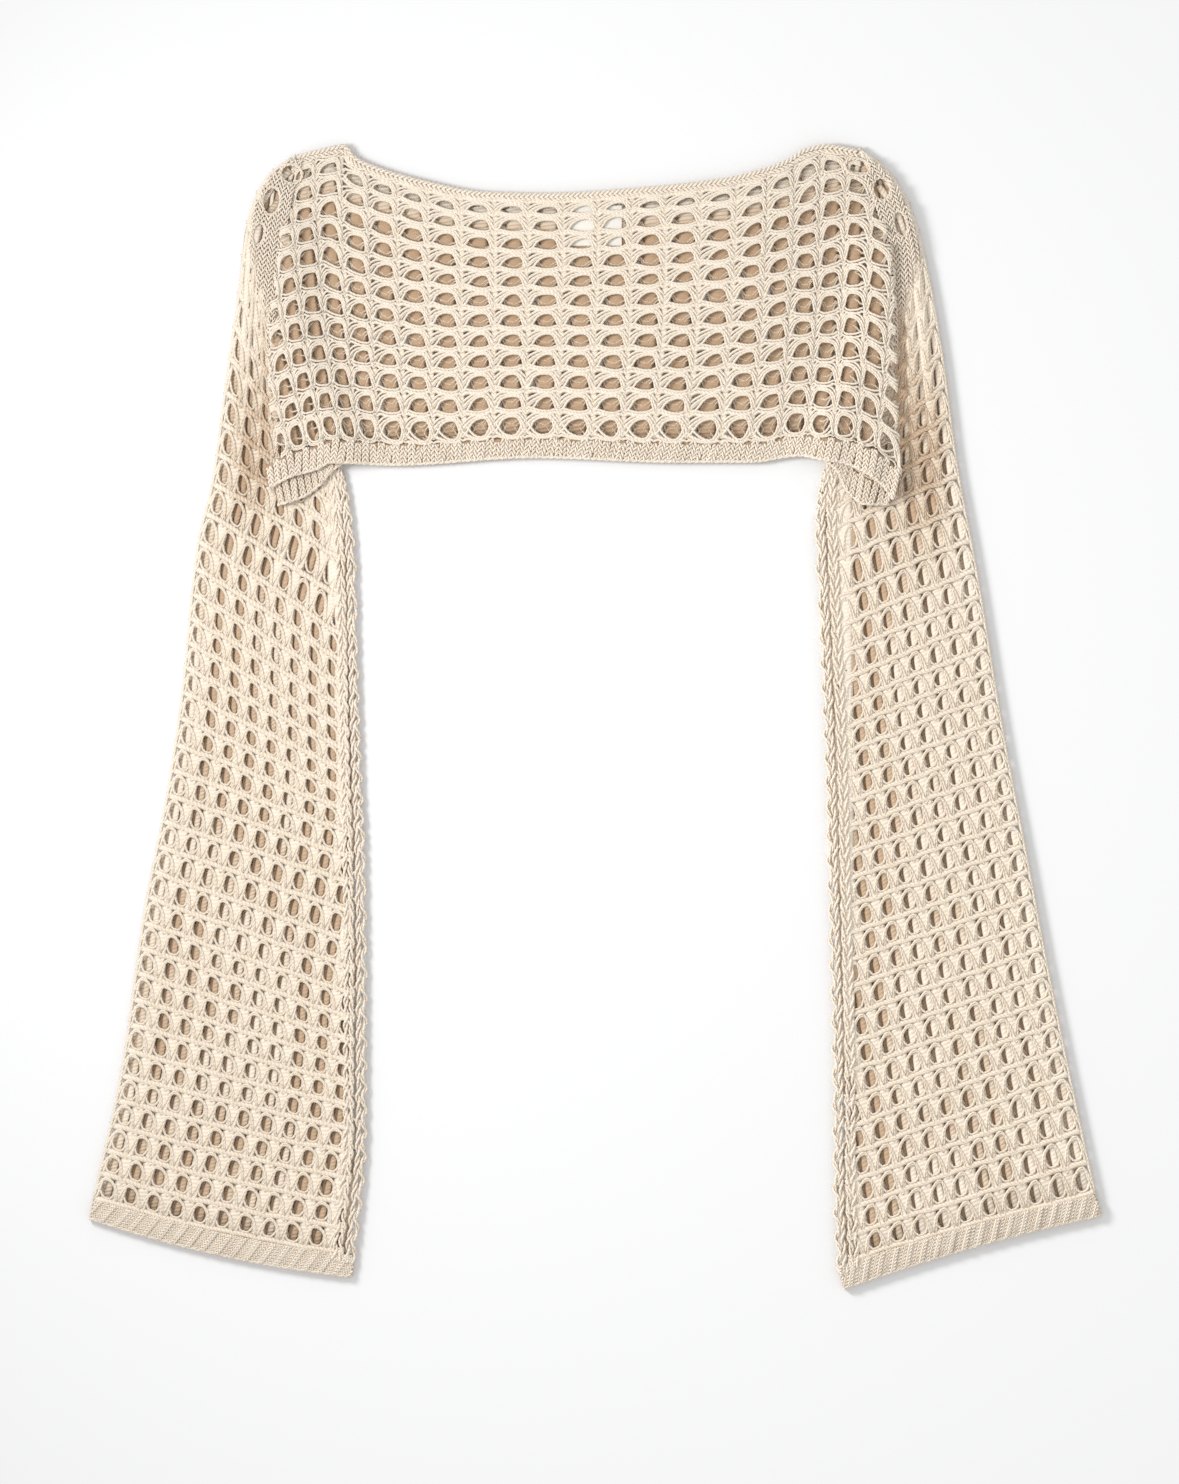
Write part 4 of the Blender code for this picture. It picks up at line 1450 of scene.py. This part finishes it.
@dataclass(frozen=True)
class Body:
    """Front and back panels with their neck and hem bands."""
    form: BodyForm
    yarn: bpy.types.Material
    band: bpy.types.Material
    strand: float = 0.83 * MM
    back_strand: float = 0.96 * MM
    ease: float = 0.065
    front_post: Post = Post(0.11, 0.22, -0.6, 0.12)
    # The back's posts are wide and carry full painted shade, so the front's holes show a shaded brown inside
    back_post: Post = Post(0.31, 0.15, 0.0, 1.0)
    neck_lines: tuple[float, float] = (0.26, 0.68)
    neck_rope: Rope = Rope(0.85, 6.4, 0.85, 0.35)
    neck_height: float = 0.55
    # The back's neck band carries painted shade, as it lies under the front
    neck_back_shade: float = 0.3
    hem_ground: Ground = Ground(lines=(0.22, 0.5, 0.78), depth=1.0)
    # The back's hem band carries painted shade, as it lies under the front
    hem_back_shade: float = 0.1
    side_margin: float = 0.003
    rib_pitch: float = 5.0 * MM
    rib_reach: float = 120 * MM
    rib_rope: Rope = Rope(0.85, 6.2, 0.72, 0.25)
    rib_back_step: float = 1.6
    rib_starts: tuple[float, float] = (0.19, 0.04)
    rib_start_draw: float = 0.04
    rib_end: float = 0.97
    rib_gap: float = 0.25
    rib_pinch: float = 0.06
    rib_slant: float = 2.0 * MM
    rib_slant_draw: float = 2.2 * MM
    rib_lift: float = 0.3 * MM
    rib_lift_draw: float = 0.35 * MM
    rib_tone: float = 0.04
    rib_tone_draw: float = 0.06

    def panel(self, front: bool) -> bpy.types.Object:
        """One panel's net.

        Args:
            front: whether it is the front one.

        Returns:
            The piece.
        """
        strands = Strands("front_knit" if front else "back_knit")
        net = BodyNet(self.form, front)
        if front:
            builder = NetBuilder(
                BODY_STITCH, BODY_FOOT, self.strand, Wander(Seed.FRONT, 28, 18), STITCH_PLACES, self.ease,
                head_drop=0.14)
        else:
            # The back lies under the front: its yarn carries painted shade, save in its top rows
            builder = NetBuilder(
                BODY_STITCH[::2] + BODY_STITCH[5:], BODY_FOOT, self.back_strand, Wander(Seed.BACK, 28, 18),
                LOWER_PLACES, self.ease, column_shift=0.5, row_shift=0.15, depth=0.5, under=0.4, follow=0.6,
                pale_rows=0.5)
        builder.fill(strands, net)
        builder.posts(strands, net, self.front_post if front else self.back_post)
        return keep(strands.build(self.yarn), "knit", "front_panel" if front else "back_panel")

    def neck_band(self, front: bool) -> bpy.types.Object:
        """Edging of the neck: two ropes of slanting stitches side by side, wound opposite ways.

        Args:
            front: whether it is the front one.

        Returns:
            The piece.
        """
        strands = Strands("neck_edge_front" if front else "neck_edge_back")
        u = np.linspace(0.0, 1.0, 400)
        for line, hand in zip(self.neck_lines, (1, -1)):
            path = self.form.under(u, np.full_like(u, line * self.form.neck_band_part), front)
            path[:, 2] += self.neck_height * (WALL if front else PLAIN_WALL)
            strands.rope(path, self.neck_rope, hand, 0.0 if front else self.neck_back_shade)
        return keep(strands.build(self.band), "band", "neck_band_front" if front else "neck_band_back")

    def hem_band(self, front: bool) -> bpy.types.Object:
        """Dense band of the hem: columns of V stitches over a rolled edge, parted into ribs at its ends.

        Args:
            front: whether it is the front one.

        Returns:
            The piece.
        """
        strands = Strands("hem_ribs_front" if front else "hem_ribs_back")
        half_wall = 0.5 * (WALL if front else PLAIN_WALL)
        shade = 0.0 if front else self.hem_back_shade
        start = 1.0 - self.form.hem_band_part
        u = np.linspace(self.side_margin, 1.0 - self.side_margin, 500)
        ground = self.hem_ground
        # Ground strands, painted dark as the shade between the ribs
        for down in ground.lines:
            path = self.form.under(u, np.full_like(u, start + down * (1.0 - start)), front)
            path[:, 2] += half_wall - ground.drop
            ground.add(strands, path)
        edge = self.form.under(u, np.full_like(u, start + ground.edge_line * (1.0 - start)), front)
        edge[:, 2] += half_wall
        strands.rope(edge, ground.edge_rope, 1, shade)
        length = path_length(edge)
        rope = self.rib_rope if front else self.rib_rope._replace(step=self.rib_back_step)
        count = int(length[-1] / self.rib_pitch)
        seed = Seed.HEM_FRONT if front else Seed.HEM_BACK
        draw = np.random.default_rng(seed.value).uniform(-1.0, 1.0, (count, 4))
        middles = (np.arange(count) + 0.5) * length[-1] / count
        near = np.minimum(middles, length[-1] - middles)
        ribbed = smooth_step(1.0 - near / self.rib_reach)
        slants = self.rib_slant_draw * draw[:, 0] + self.rib_slant * smooth_step(1.0 - near / RUFFLE_REACH)
        starts = np.where(np.arange(count) % 2 == 0, *self.rib_starts) + self.rib_start_draw * draw[:, 1]
        for middle, slant, part, begin, (_, _, lift, tone) in zip(middles, slants, ribbed, starts, draw):
            down = np.linspace(begin, self.rib_end, 16)
            gap = (self.rib_gap - self.rib_pinch * part) * self.rib_pitch
            for hand in (1, -1):
                along = np.interp(middle + hand * gap + slant * (down - 0.5), length, u)
                path = self.form.under(along, start + down * (1.0 - start), front)
                path[:, 2] += half_wall + self.rib_lift_draw * lift + self.rib_lift * part
                depth = shade + self.rib_tone + self.rib_tone_draw * tone
                strands.rope(path, rope, hand, depth, 0.5 * tone)
        return keep(strands.build(self.band), "band", "hem_band_front" if front else "hem_band_back")


@dataclass(frozen=True)
class Label:
    """Blank tape label inside the back of the neck, with its edges turned under."""
    left: float = -18 * MM
    right: float = 17 * MM
    top: float = 332 * MM
    bottom: float = 306 * MM
    height: float = 2.5 * MM
    thickness: float = 0.45 * MM
    puff: float = 0.35 * MM
    columns: int = 25
    rows: int = 19

    def build(self) -> bpy.types.Object:
        """A thin closed slab whose top bows a little between its sewn corners.

        Returns:
            The piece.
        """
        x = np.linspace(self.left, self.right, self.columns)
        y = np.linspace(self.bottom, self.top, self.rows)
        grid_x, grid_y = np.meshgrid(x, y, indexing="ij")
        across = np.linspace(-1, 1, self.columns)[:, None]
        down = np.linspace(-1, 1, self.rows)[None, :]
        bow = self.puff * (1 - across ** 2) * (1 - down ** 2)
        low = np.stack([grid_x, grid_y, np.full_like(grid_x, self.height)], axis=-1)
        high = np.stack([grid_x, grid_y, self.height + self.thickness + bow], axis=-1)
        index = np.arange(grid_x.size).reshape(grid_x.shape)
        quads = []
        for offset, way in ((grid_x.size, 1), (0, -1)):
            corners = (index[:-1, :-1], index[1:, :-1], index[1:, 1:], index[:-1, 1:])[::way]
            quads.append(np.stack([c.ravel() for c in corners], axis=-1) + offset)
        rim = np.concatenate([index[:, 0], index[-1, 1:], index[-2::-1, -1], index[0, -2:0:-1]])
        after = np.roll(rim, -1)
        quads.append(np.stack([rim, after, after + grid_x.size, rim + grid_x.size], axis=-1))
        mesh = bpy.data.meshes.new("blank_label")
        points = np.concatenate([low.reshape(-1, 3), high.reshape(-1, 3)])
        mesh.from_pydata(points.tolist(), [], np.concatenate(quads).tolist())
        mesh.materials.append(LabelFinish().material())
        piece = bpy.data.objects.new("blank_label", mesh)
        bpy.context.scene.collection.objects.link(piece)
        LOG.info("blank_label: %d faces", len(mesh.polygons))
        return keep(piece, "label", "label")


@dataclass(frozen=True)
class Sleeve:
    """A flared sleeve: its net, the dense strip along its inner fold, its armhole band and its cuff."""
    form: SleeveForm
    yarn: bpy.types.Material
    band: bpy.types.Material
    strand: float = 0.85 * MM
    lower_strand: float = 0.76 * MM
    edge_radius: float = 1.0 * MM
    edge_column: float = 0.05
    # Painted shade of the strand along the outer fold
    edge_shade: float = 0.1
    fade_reach: float = 0.9
    upper_post: Post = Post(0.28, 0.2, -0.5, 0.12)
    lower_post: Post = Post(0.265, 0.16, -0.2, 0.95)
    # A raised streak of the lower layer seen in the holes, in painted shade lifted in pale patches
    streak: Post = Post(0.15, 0.3, 1.5, 0.9, -0.3, 0.08)
    lining_height: float = 2.2 * MM
    lining_flat: float = 0.25
    linings: tuple[Lining, ...] = (
        Lining(0.12, 0.40, 0.8), Lining(0.25, 0.22, 0.2), Lining(0.38, 0.40, 0.95))
    head_rows: float = 14.0
    head_part: float = 0.6
    wales: int = 6
    first_wale: float = -1.5 * MM
    wale_width: float = 5.2 * MM
    wale_rope: Rope = Rope(0.92, 7.0, 0.6, 0.1)
    wale_lift: float = 0.5 * MM
    wale_margin: float = 1.5 * MM
    wale_top: float = 362 * MM
    wale_foot: float = 236 * MM
    wale_rise: float = 15 * MM
    wale_draw: float = 12 * MM
    wale_sink: float = 2.6 * MM
    wale_tail: float = 14 * MM
    wale_points: int = 8
    wale_ground: Ground = Ground(lines=(), depth=1.1, drop=0.8 * MM)
    ground_margin: float = 3.4 * MM
    rim_rope: Rope = Rope(0.5, 6.0, 0.6, 0.3, step=0.6)
    strip_rows: tuple[float, float] = (1.0, 0.4)
    strip_drop: float = 0.9 * MM
    cuff_ground: Ground = Ground(lines=(0.2, 0.5, 0.8), depth=0.6)
    cuff_margin: float = 0.002
    # Painted shade of the cuff's layers, more on the lower one
    cuff_depth: float = 0.05
    cuff_lower_depth: float = 0.15
    cuff_rope: Rope = Rope(0.62, 4.6, 0.6, 0.15, step=0.9)
    cuff_lower_step: float = 1.5
    cuff_rib: float = 9.8 * MM
    cuff_rib_wales: int = 3
    cuff_rib_height: float = 0.7 * MM
    cuff_rib_lean: float = 0.8
    cuff_lift_draw: float = 0.15 * MM
    # Painted shade of the ribs that lie in the hollows
    cuff_hollow_shade: float = 0.12
    cuff_tone_draw: float = 0.06
    cuff_span: tuple[float, float] = (0.05, 0.97)
    cuff_gap: float = 0.24
    cuff_end: float = 0.004
    cuff_points: int = 4
    cuff_drop_start: float = 0.6

    @property
    def word(self) -> str:
        """The side's name."""
        return self.form.side.name.lower()

    def knit(self) -> bpy.types.Object:
        """Both layers of the sleeve's net in one piece, meeting at its folds.

        Knit of the layer below shows in the shoulder's holes as a few flat strands across each, painted dark
        as the shade in the holes.

        Returns:
            The piece.
        """
        strands = Strands("sleeve_knit_" + self.word)
        strands.shades = UNDERARM_SHADES[self.form.side]
        left = self.form.side is Side.LEFT
        upper_seed, lower_seed = (
            (Seed.LEFT_SLEEVE_TOP, Seed.LEFT_SLEEVE) if left else (Seed.RIGHT_SLEEVE_TOP, Seed.RIGHT_SLEEVE))

        strands.openings = SHOULDER_OPENINGS[self.form.side]
        net = SleeveNet(self.form, Layer.UPPER)
        stitch = SLEEVE_STITCH[:2] + (SOFT_BAR if left else SLEEVE_STITCH[2],) + SLEEVE_STITCH[3:]
        # The upper net carries some painted shade and the lower one more
        builder = NetBuilder(
            stitch, SLEEVE_STITCH[:2], self.strand, Wander(upper_seed, 24, 46), STITCH_PLACES,
            depth=0.28, under=0.2, fade_reach=self.fade_reach)
        builder.fill(strands, net)
        row = np.linspace(0.2, net.rows, 160)
        edge = net.points(np.full_like(row, self.edge_column), row, np.zeros_like(row))
        strands.add(edge, self.edge_radius, self.edge_shade)
        builder.posts(strands, net, self.upper_post)

        strands.openings = ()
        net = SleeveNet(self.form, Layer.LOWER)
        builder = NetBuilder(
            SLEEVE_STITCH[3:], SLEEVE_STITCH[:2], self.lower_strand, Wander(lower_seed, 24, 46), LOWER_PLACES,
            column_shift=0.5, row_shift=0.3, depth=0.5, under=0.4, fade_reach=self.fade_reach)
        builder.fill(strands, net)
        builder.posts(strands, net, self.lower_post)
        builder.posts(strands, net, self.streak)
        # Flat strands across each shoulder hole, painted dark as the shaded knit below
        for opening in SHOULDER_OPENINGS[self.form.side]:
            for lining in self.linings:
                high, low = opening.rim(np.array([lining.share, -lining.share]))
                path = np.concatenate(
                    [np.linspace(high, low, 8), np.full((8, 1), self.lining_height)], axis=1)
                half_width = lining.half_width * opening.half_x * MM
                strands.add(path, half_width, lining.depth, sides=6, underside_shade=0.2, flat=self.lining_flat)
        return keep(strands.build(self.yarn), "knit", "sleeve_" + self.word)

    def height_near(self, xy: Array) -> Array:
        """Height of the sleeve's top on its head, from the nearest point of a close grid.

        Args:
            xy: places in metres, with x and y last.

        Returns:
            The height at each place.
        """
        rows = np.linspace(0.0, self.head_rows, 90)
        row, across = np.meshgrid(rows, np.linspace(0.0, self.head_part, 60), indexing="ij")
        top = self.form.top(row, across).reshape(-1, 3)
        far = ((xy[:, None, :] - top[None, :, :2]) ** 2).sum(axis=-1)
        return top[far.argmin(axis=1), 2]

    def armhole(self) -> bpy.types.Object:
        """Plain knit round the armhole: columns of V stitches beside the body's side edge.

        Each column is two ropes wound opposite ways over a ground painted dark as the shade between them. It
        starts below the shoulder and ends where the sleeve's outer fold cuts it, or higher on columns that
        lie further out.

        Returns:
            The piece.
        """
        strands = Strands("armhole_knit_" + self.word)
        left = self.form.side is Side.LEFT
        edge = along_table(LEFT_SIDE if left else RIGHT_SIDE, np.linspace(0.0, 1.0, 240))
        way = unit(np.gradient(edge, axis=0))
        out = np.stack([way[:, 1], -way[:, 0]], axis=-1) * (1.0 if left else -1.0)
        rows = np.linspace(0.0, self.head_rows, 200)
        fold, _ = self.form.plan(rows, np.zeros_like(rows))
        strands.openings = SHOULDER_OPENINGS[self.form.side]
        strands.shades = UNDERARM_SHADES[self.form.side]
        draw = np.random.default_rng(Seed.WALES.value).uniform(-1.0, 1.0, self.wales)
        feet = self.wale_foot + self.wale_draw * draw + self.wale_rise * np.arange(self.wales)
        for number, foot in enumerate(feet):
            middle = edge + out * (self.first_wale + number * self.wale_width)
            for hand in (0, 1, -1):
                line = middle + out * (0.25 * hand * self.wale_width)
                from_fold = np.sqrt(((line[:, None] - fold[None]) ** 2).sum(axis=-1)).min(axis=1)
                outside = np.interp(line[:, 1], fold[::-1, 1], fold[::-1, 0])
                span = (line[:, 0] > outside) if left else (line[:, 0] < outside)
                span &= from_fold > (self.wale_margin if hand else self.ground_margin)
                span &= (line[:, 1] > foot) & (line[:, 1] < self.wale_top)
                if span.sum() < self.wale_points:
                    continue
                xy = line[longest_run(span)]
                path = np.concatenate([xy, self.height_near(xy)[:, None]], axis=-1)
                path[:, 2] -= self.wale_sink * smooth_step(1.0 - (xy[:, 1] - xy[-1, 1]) / self.wale_tail)
                if hand:
                    path[:, 2] += self.wale_lift
                    strands.rope(path, self.wale_rope, hand)
                else:
                    path[:, 2] -= self.wale_ground.drop
                    self.wale_ground.add(strands, path, 0.5 * self.wale_width)
        strands.openings = ()
        for opening in SHOULDER_OPENINGS[self.form.side]:
            xy = opening.rim(np.linspace(0.0, 1.0, 40))
            path = np.concatenate([xy, self.height_near(xy)[:, None]], axis=-1)
            strands.rope(path, self.rim_rope, 1)
        return keep(strands.build(self.band), "knit", "sleeve_" + self.word)

    def strip(self) -> bpy.types.Object:
        """Dense strip along the inner fold: ropes of long loops with slits between them.

        Each rope swells sideways as a cosine of its row.

        Returns:
            The piece.
        """
        strands = Strands("inner_strip_" + self.word)
        first, beyond = self.strip_rows
        row = np.linspace(first, self.form.rows + beyond, 700)
        _, width = self.form.plan(row, np.full_like(row, 0.5))
        for strip in STRIP_ROPES:
            swell = strip.swell * MM * np.cos(2.0 * math.pi * row)
            path = self.form.top(row, np.minimum(1.0 - (strip.inward * MM - swell) / width, 1.0))
            path[:, 2] -= self.strip_drop
            strands.rope(path, strip.rope, strip.hand)
        return keep(strands.build(self.band), "knit", "sleeve_" + self.word)

    def cuff(self) -> bpy.types.Object:
        """Dense cuff band: courses of loops over slanting ribs, above and below, meeting round its edge.

        Returns:
            The piece.
        """
        strands = Strands("cuff_band_" + self.word)
        ground = self.cuff_ground
        for layer in Layer:
            upper = layer is Layer.UPPER
            shade = self.cuff_depth if upper else self.cuff_lower_depth
            rope = self.cuff_rope if upper else self.cuff_rope._replace(step=self.cuff_lower_step)
            across = np.linspace(self.cuff_margin, 1.0 - self.cuff_margin, 240)
            # Ground strands, painted dark as the shade between the ribs
            for down in ground.lines:
                path = self.cuff_place(across, np.full_like(across, down), upper)
                path[:, 2] -= ground.drop if upper else 0.0
                ground.add(strands, path)
            edge = self.cuff_place(across, np.full_like(across, ground.edge_line), upper)
            strands.rope(edge, ground.edge_rope, 1, shade)
            width = path_length(edge)[-1]
            extra = self.cuff_rib_wales
            count = int(round(width / self.cuff_rib)) * extra
            slant = self.cuff_rib_lean * self.form.side.value * self.cuff_rib / width
            seed = Seed.UPPER_CUFF if upper else Seed.LOWER_CUFF
            draw = np.random.default_rng(seed.value).uniform(-1.0, 1.0, (count + 2 * extra, 3))
            for number in range(-extra, count + extra):
                raised = number % extra == 0
                lift = (self.cuff_rib_height if raised else 0.0) + self.cuff_lift_draw * draw[number, 0]
                # Ribs in the hollows take painted shade; every rib's tone also differs at random
                tone = shade + (0.0 if raised else self.cuff_hollow_shade)
                tone += self.cuff_tone_draw * draw[number, 1]
                for hand in (1, -1):
                    down = np.linspace(*self.cuff_span, 18)
                    place = (number + 0.5 + self.cuff_gap * hand) / count + slant * (down - 0.5)
                    inside = (place > self.cuff_end) & (place < 1.0 - self.cuff_end)
                    if inside.sum() < self.cuff_points:
                        continue
                    path = self.cuff_place(place[inside], down[inside], upper)
                    path[:, 2] += lift if upper else 0.0
                    strands.rope(path, rope, hand, tone, 0.25 * draw[number, 2])
        return keep(strands.build(self.band), "band", "cuff_" + self.word)

    def cuff_place(self, across: Array, down: Array, upper: bool) -> Array:
        """Places at the middle of the cuff band's wall.

        Args:
            across: shares across it.
            down: shares down it, from the net to its edge.
            upper: whether it is the upper layer.

        Returns:
            Points, with x, y and z last.
        """
        row = self.form.rows + down
        path = self.form.top(row, across) if upper else self.form.low(row, across)
        _, width = self.form.plan(row, across)
        inside = 0.5 * (WALL if upper else PLAIN_WALL) * self.form.roundness(across, width)
        drop = self.form.cuff_drop * smooth_step((down - self.cuff_drop_start) / (1.0 - self.cuff_drop_start))
        path[:, 2] += -inside - drop if upper else inside
        return path


@dataclass(frozen=True)
class Studio:
    """White floor, soft key light from the upper left and a camera straight above."""
    centre_x: float = -3.9 * MM
    centre_y: float = -16.3 * MM
    frame_height: float = 0.9646
    distance: float = 3.0
    far_clip: float = 50.0
    floor_size: float = 8.0
    floor_colour: tuple[float, float, float] = (0.91, 0.925, 0.955)
    floor_roughness: float = 0.9
    key_strength: float = 0.72
    key_size: float = 0.26
    key_energy: float = 10.0
    key_colour: tuple[float, float, float] = (1.0, 0.985, 0.96)
    key_place: tuple[float, float, float] = (-0.60, 0.25, 0.50)
    key_aim: tuple[float, float, float] = (0.8, -0.25, 0.0)
    sky_strength: float = 0.73
    sky_colour: tuple[float, float, float] = (1.0, 0.985, 0.955)

    def floor(self) -> None:
        """A wide plane of matt white under the garment."""
        half = 0.5 * self.floor_size
        mesh = bpy.data.meshes.new("floor")
        corners = [(-half, -half, 0.0), (half, -half, 0.0), (half, half, 0.0), (-half, half, 0.0)]
        mesh.from_pydata(corners, [], [(0, 1, 2, 3)])
        material, shader = principled(
            "floor_white", {"Roughness": self.floor_roughness, "Specular IOR Level": 0.0})
        shader.inputs["Base Color"].default_value = (*self.floor_colour, 1.0)
        mesh.materials.append(material)
        plane = bpy.data.objects.new("floor", mesh)
        bpy.context.scene.collection.objects.link(plane)

    def lights(self) -> None:
        """A key close on the left, whose light doesn't fade with distance, and a pale sky all round."""
        key = bpy.data.lights.new("key", "AREA")
        key.shape = "DISK"
        key.size = self.key_size
        key.energy = self.key_energy
        key.color = self.key_colour
        key.use_nodes = True
        tree = key.node_tree
        falloff = add_node(tree, "LightFalloff", {"Strength": self.key_strength})
        wire(tree, (falloff, "Constant", tree.nodes["Emission"], "Strength"))
        lamp = bpy.data.objects.new("key", key)
        lamp.location = self.key_place
        aim = Vector(self.key_aim) - lamp.location
        lamp.rotation_euler = aim.to_track_quat("-Z", "Y").to_euler()
        bpy.context.scene.collection.objects.link(lamp)
        world = bpy.data.worlds.new("sky")
        world.use_nodes = True
        sky = world.node_tree.nodes["Background"]
        sky.inputs["Color"].default_value = (*self.sky_colour, 1.0)
        sky.inputs["Strength"].default_value = self.sky_strength
        bpy.context.scene.world = world
        bpy.context.scene.view_settings.view_transform = "Standard"

    def camera(self) -> None:
        """A long lens that looks straight down at the middle of the photograph's frame."""
        data = bpy.data.cameras.new("camera")
        data.lens = 0.5 * data.sensor_width * self.distance / (0.5 * self.frame_height)
        data.clip_end = self.far_clip
        camera = bpy.data.objects.new("camera", data)
        camera.location = (self.centre_x, self.centre_y, self.distance)
        bpy.context.scene.collection.objects.link(camera)
        bpy.context.scene.camera = camera


def main() -> None:
    """Builds the garment piece by piece, then the studio."""
    logging.basicConfig(level=logging.INFO, format="%(message)s")
    # Pale is the yarn where lit; warm and shaded are the colours of its painted shade, half and full
    yarn = YarnFinish("cream_yarn", pale=(0.975, 0.888, 0.777), warm=(0.88, 0.775, 0.645),
                      shaded=(0.57, 0.40, 0.262)).material()
    band = YarnFinish("cream_yarn_band", pale=(0.975, 0.895, 0.79), warm=(0.91, 0.81, 0.69),
                      shaded=(0.47, 0.33, 0.21)).material()
    body = Body(BodyForm(), yarn, band)
    pieces = {
        "back": body.panel(front=False),
        "front": body.panel(front=True),
        "neck_back": body.neck_band(front=False),
        "neck_front": body.neck_band(front=True),
        "hem_back": body.hem_band(front=False),
        "hem_front": body.hem_band(front=True),
        "label": Label().build(),
    }
    for side in Side:
        sleeve = Sleeve(SleeveForm(side), yarn, band)
        if side is Side.RIGHT:
            sleeve = replace(sleeve, streak=Post(0.15, 0.3, 2.4, 0.9, 0.8, -0.1))
        pieces["sleeve_" + sleeve.word] = sleeve.knit()
        pieces["armhole_" + sleeve.word] = sleeve.armhole()
        pieces["strip_" + sleeve.word] = sleeve.strip()
        pieces["cuff_" + sleeve.word] = sleeve.cuff()
    studio = Studio()
    studio.floor()
    studio.lights()
    studio.camera()


if __name__ == "__main__":
    main()
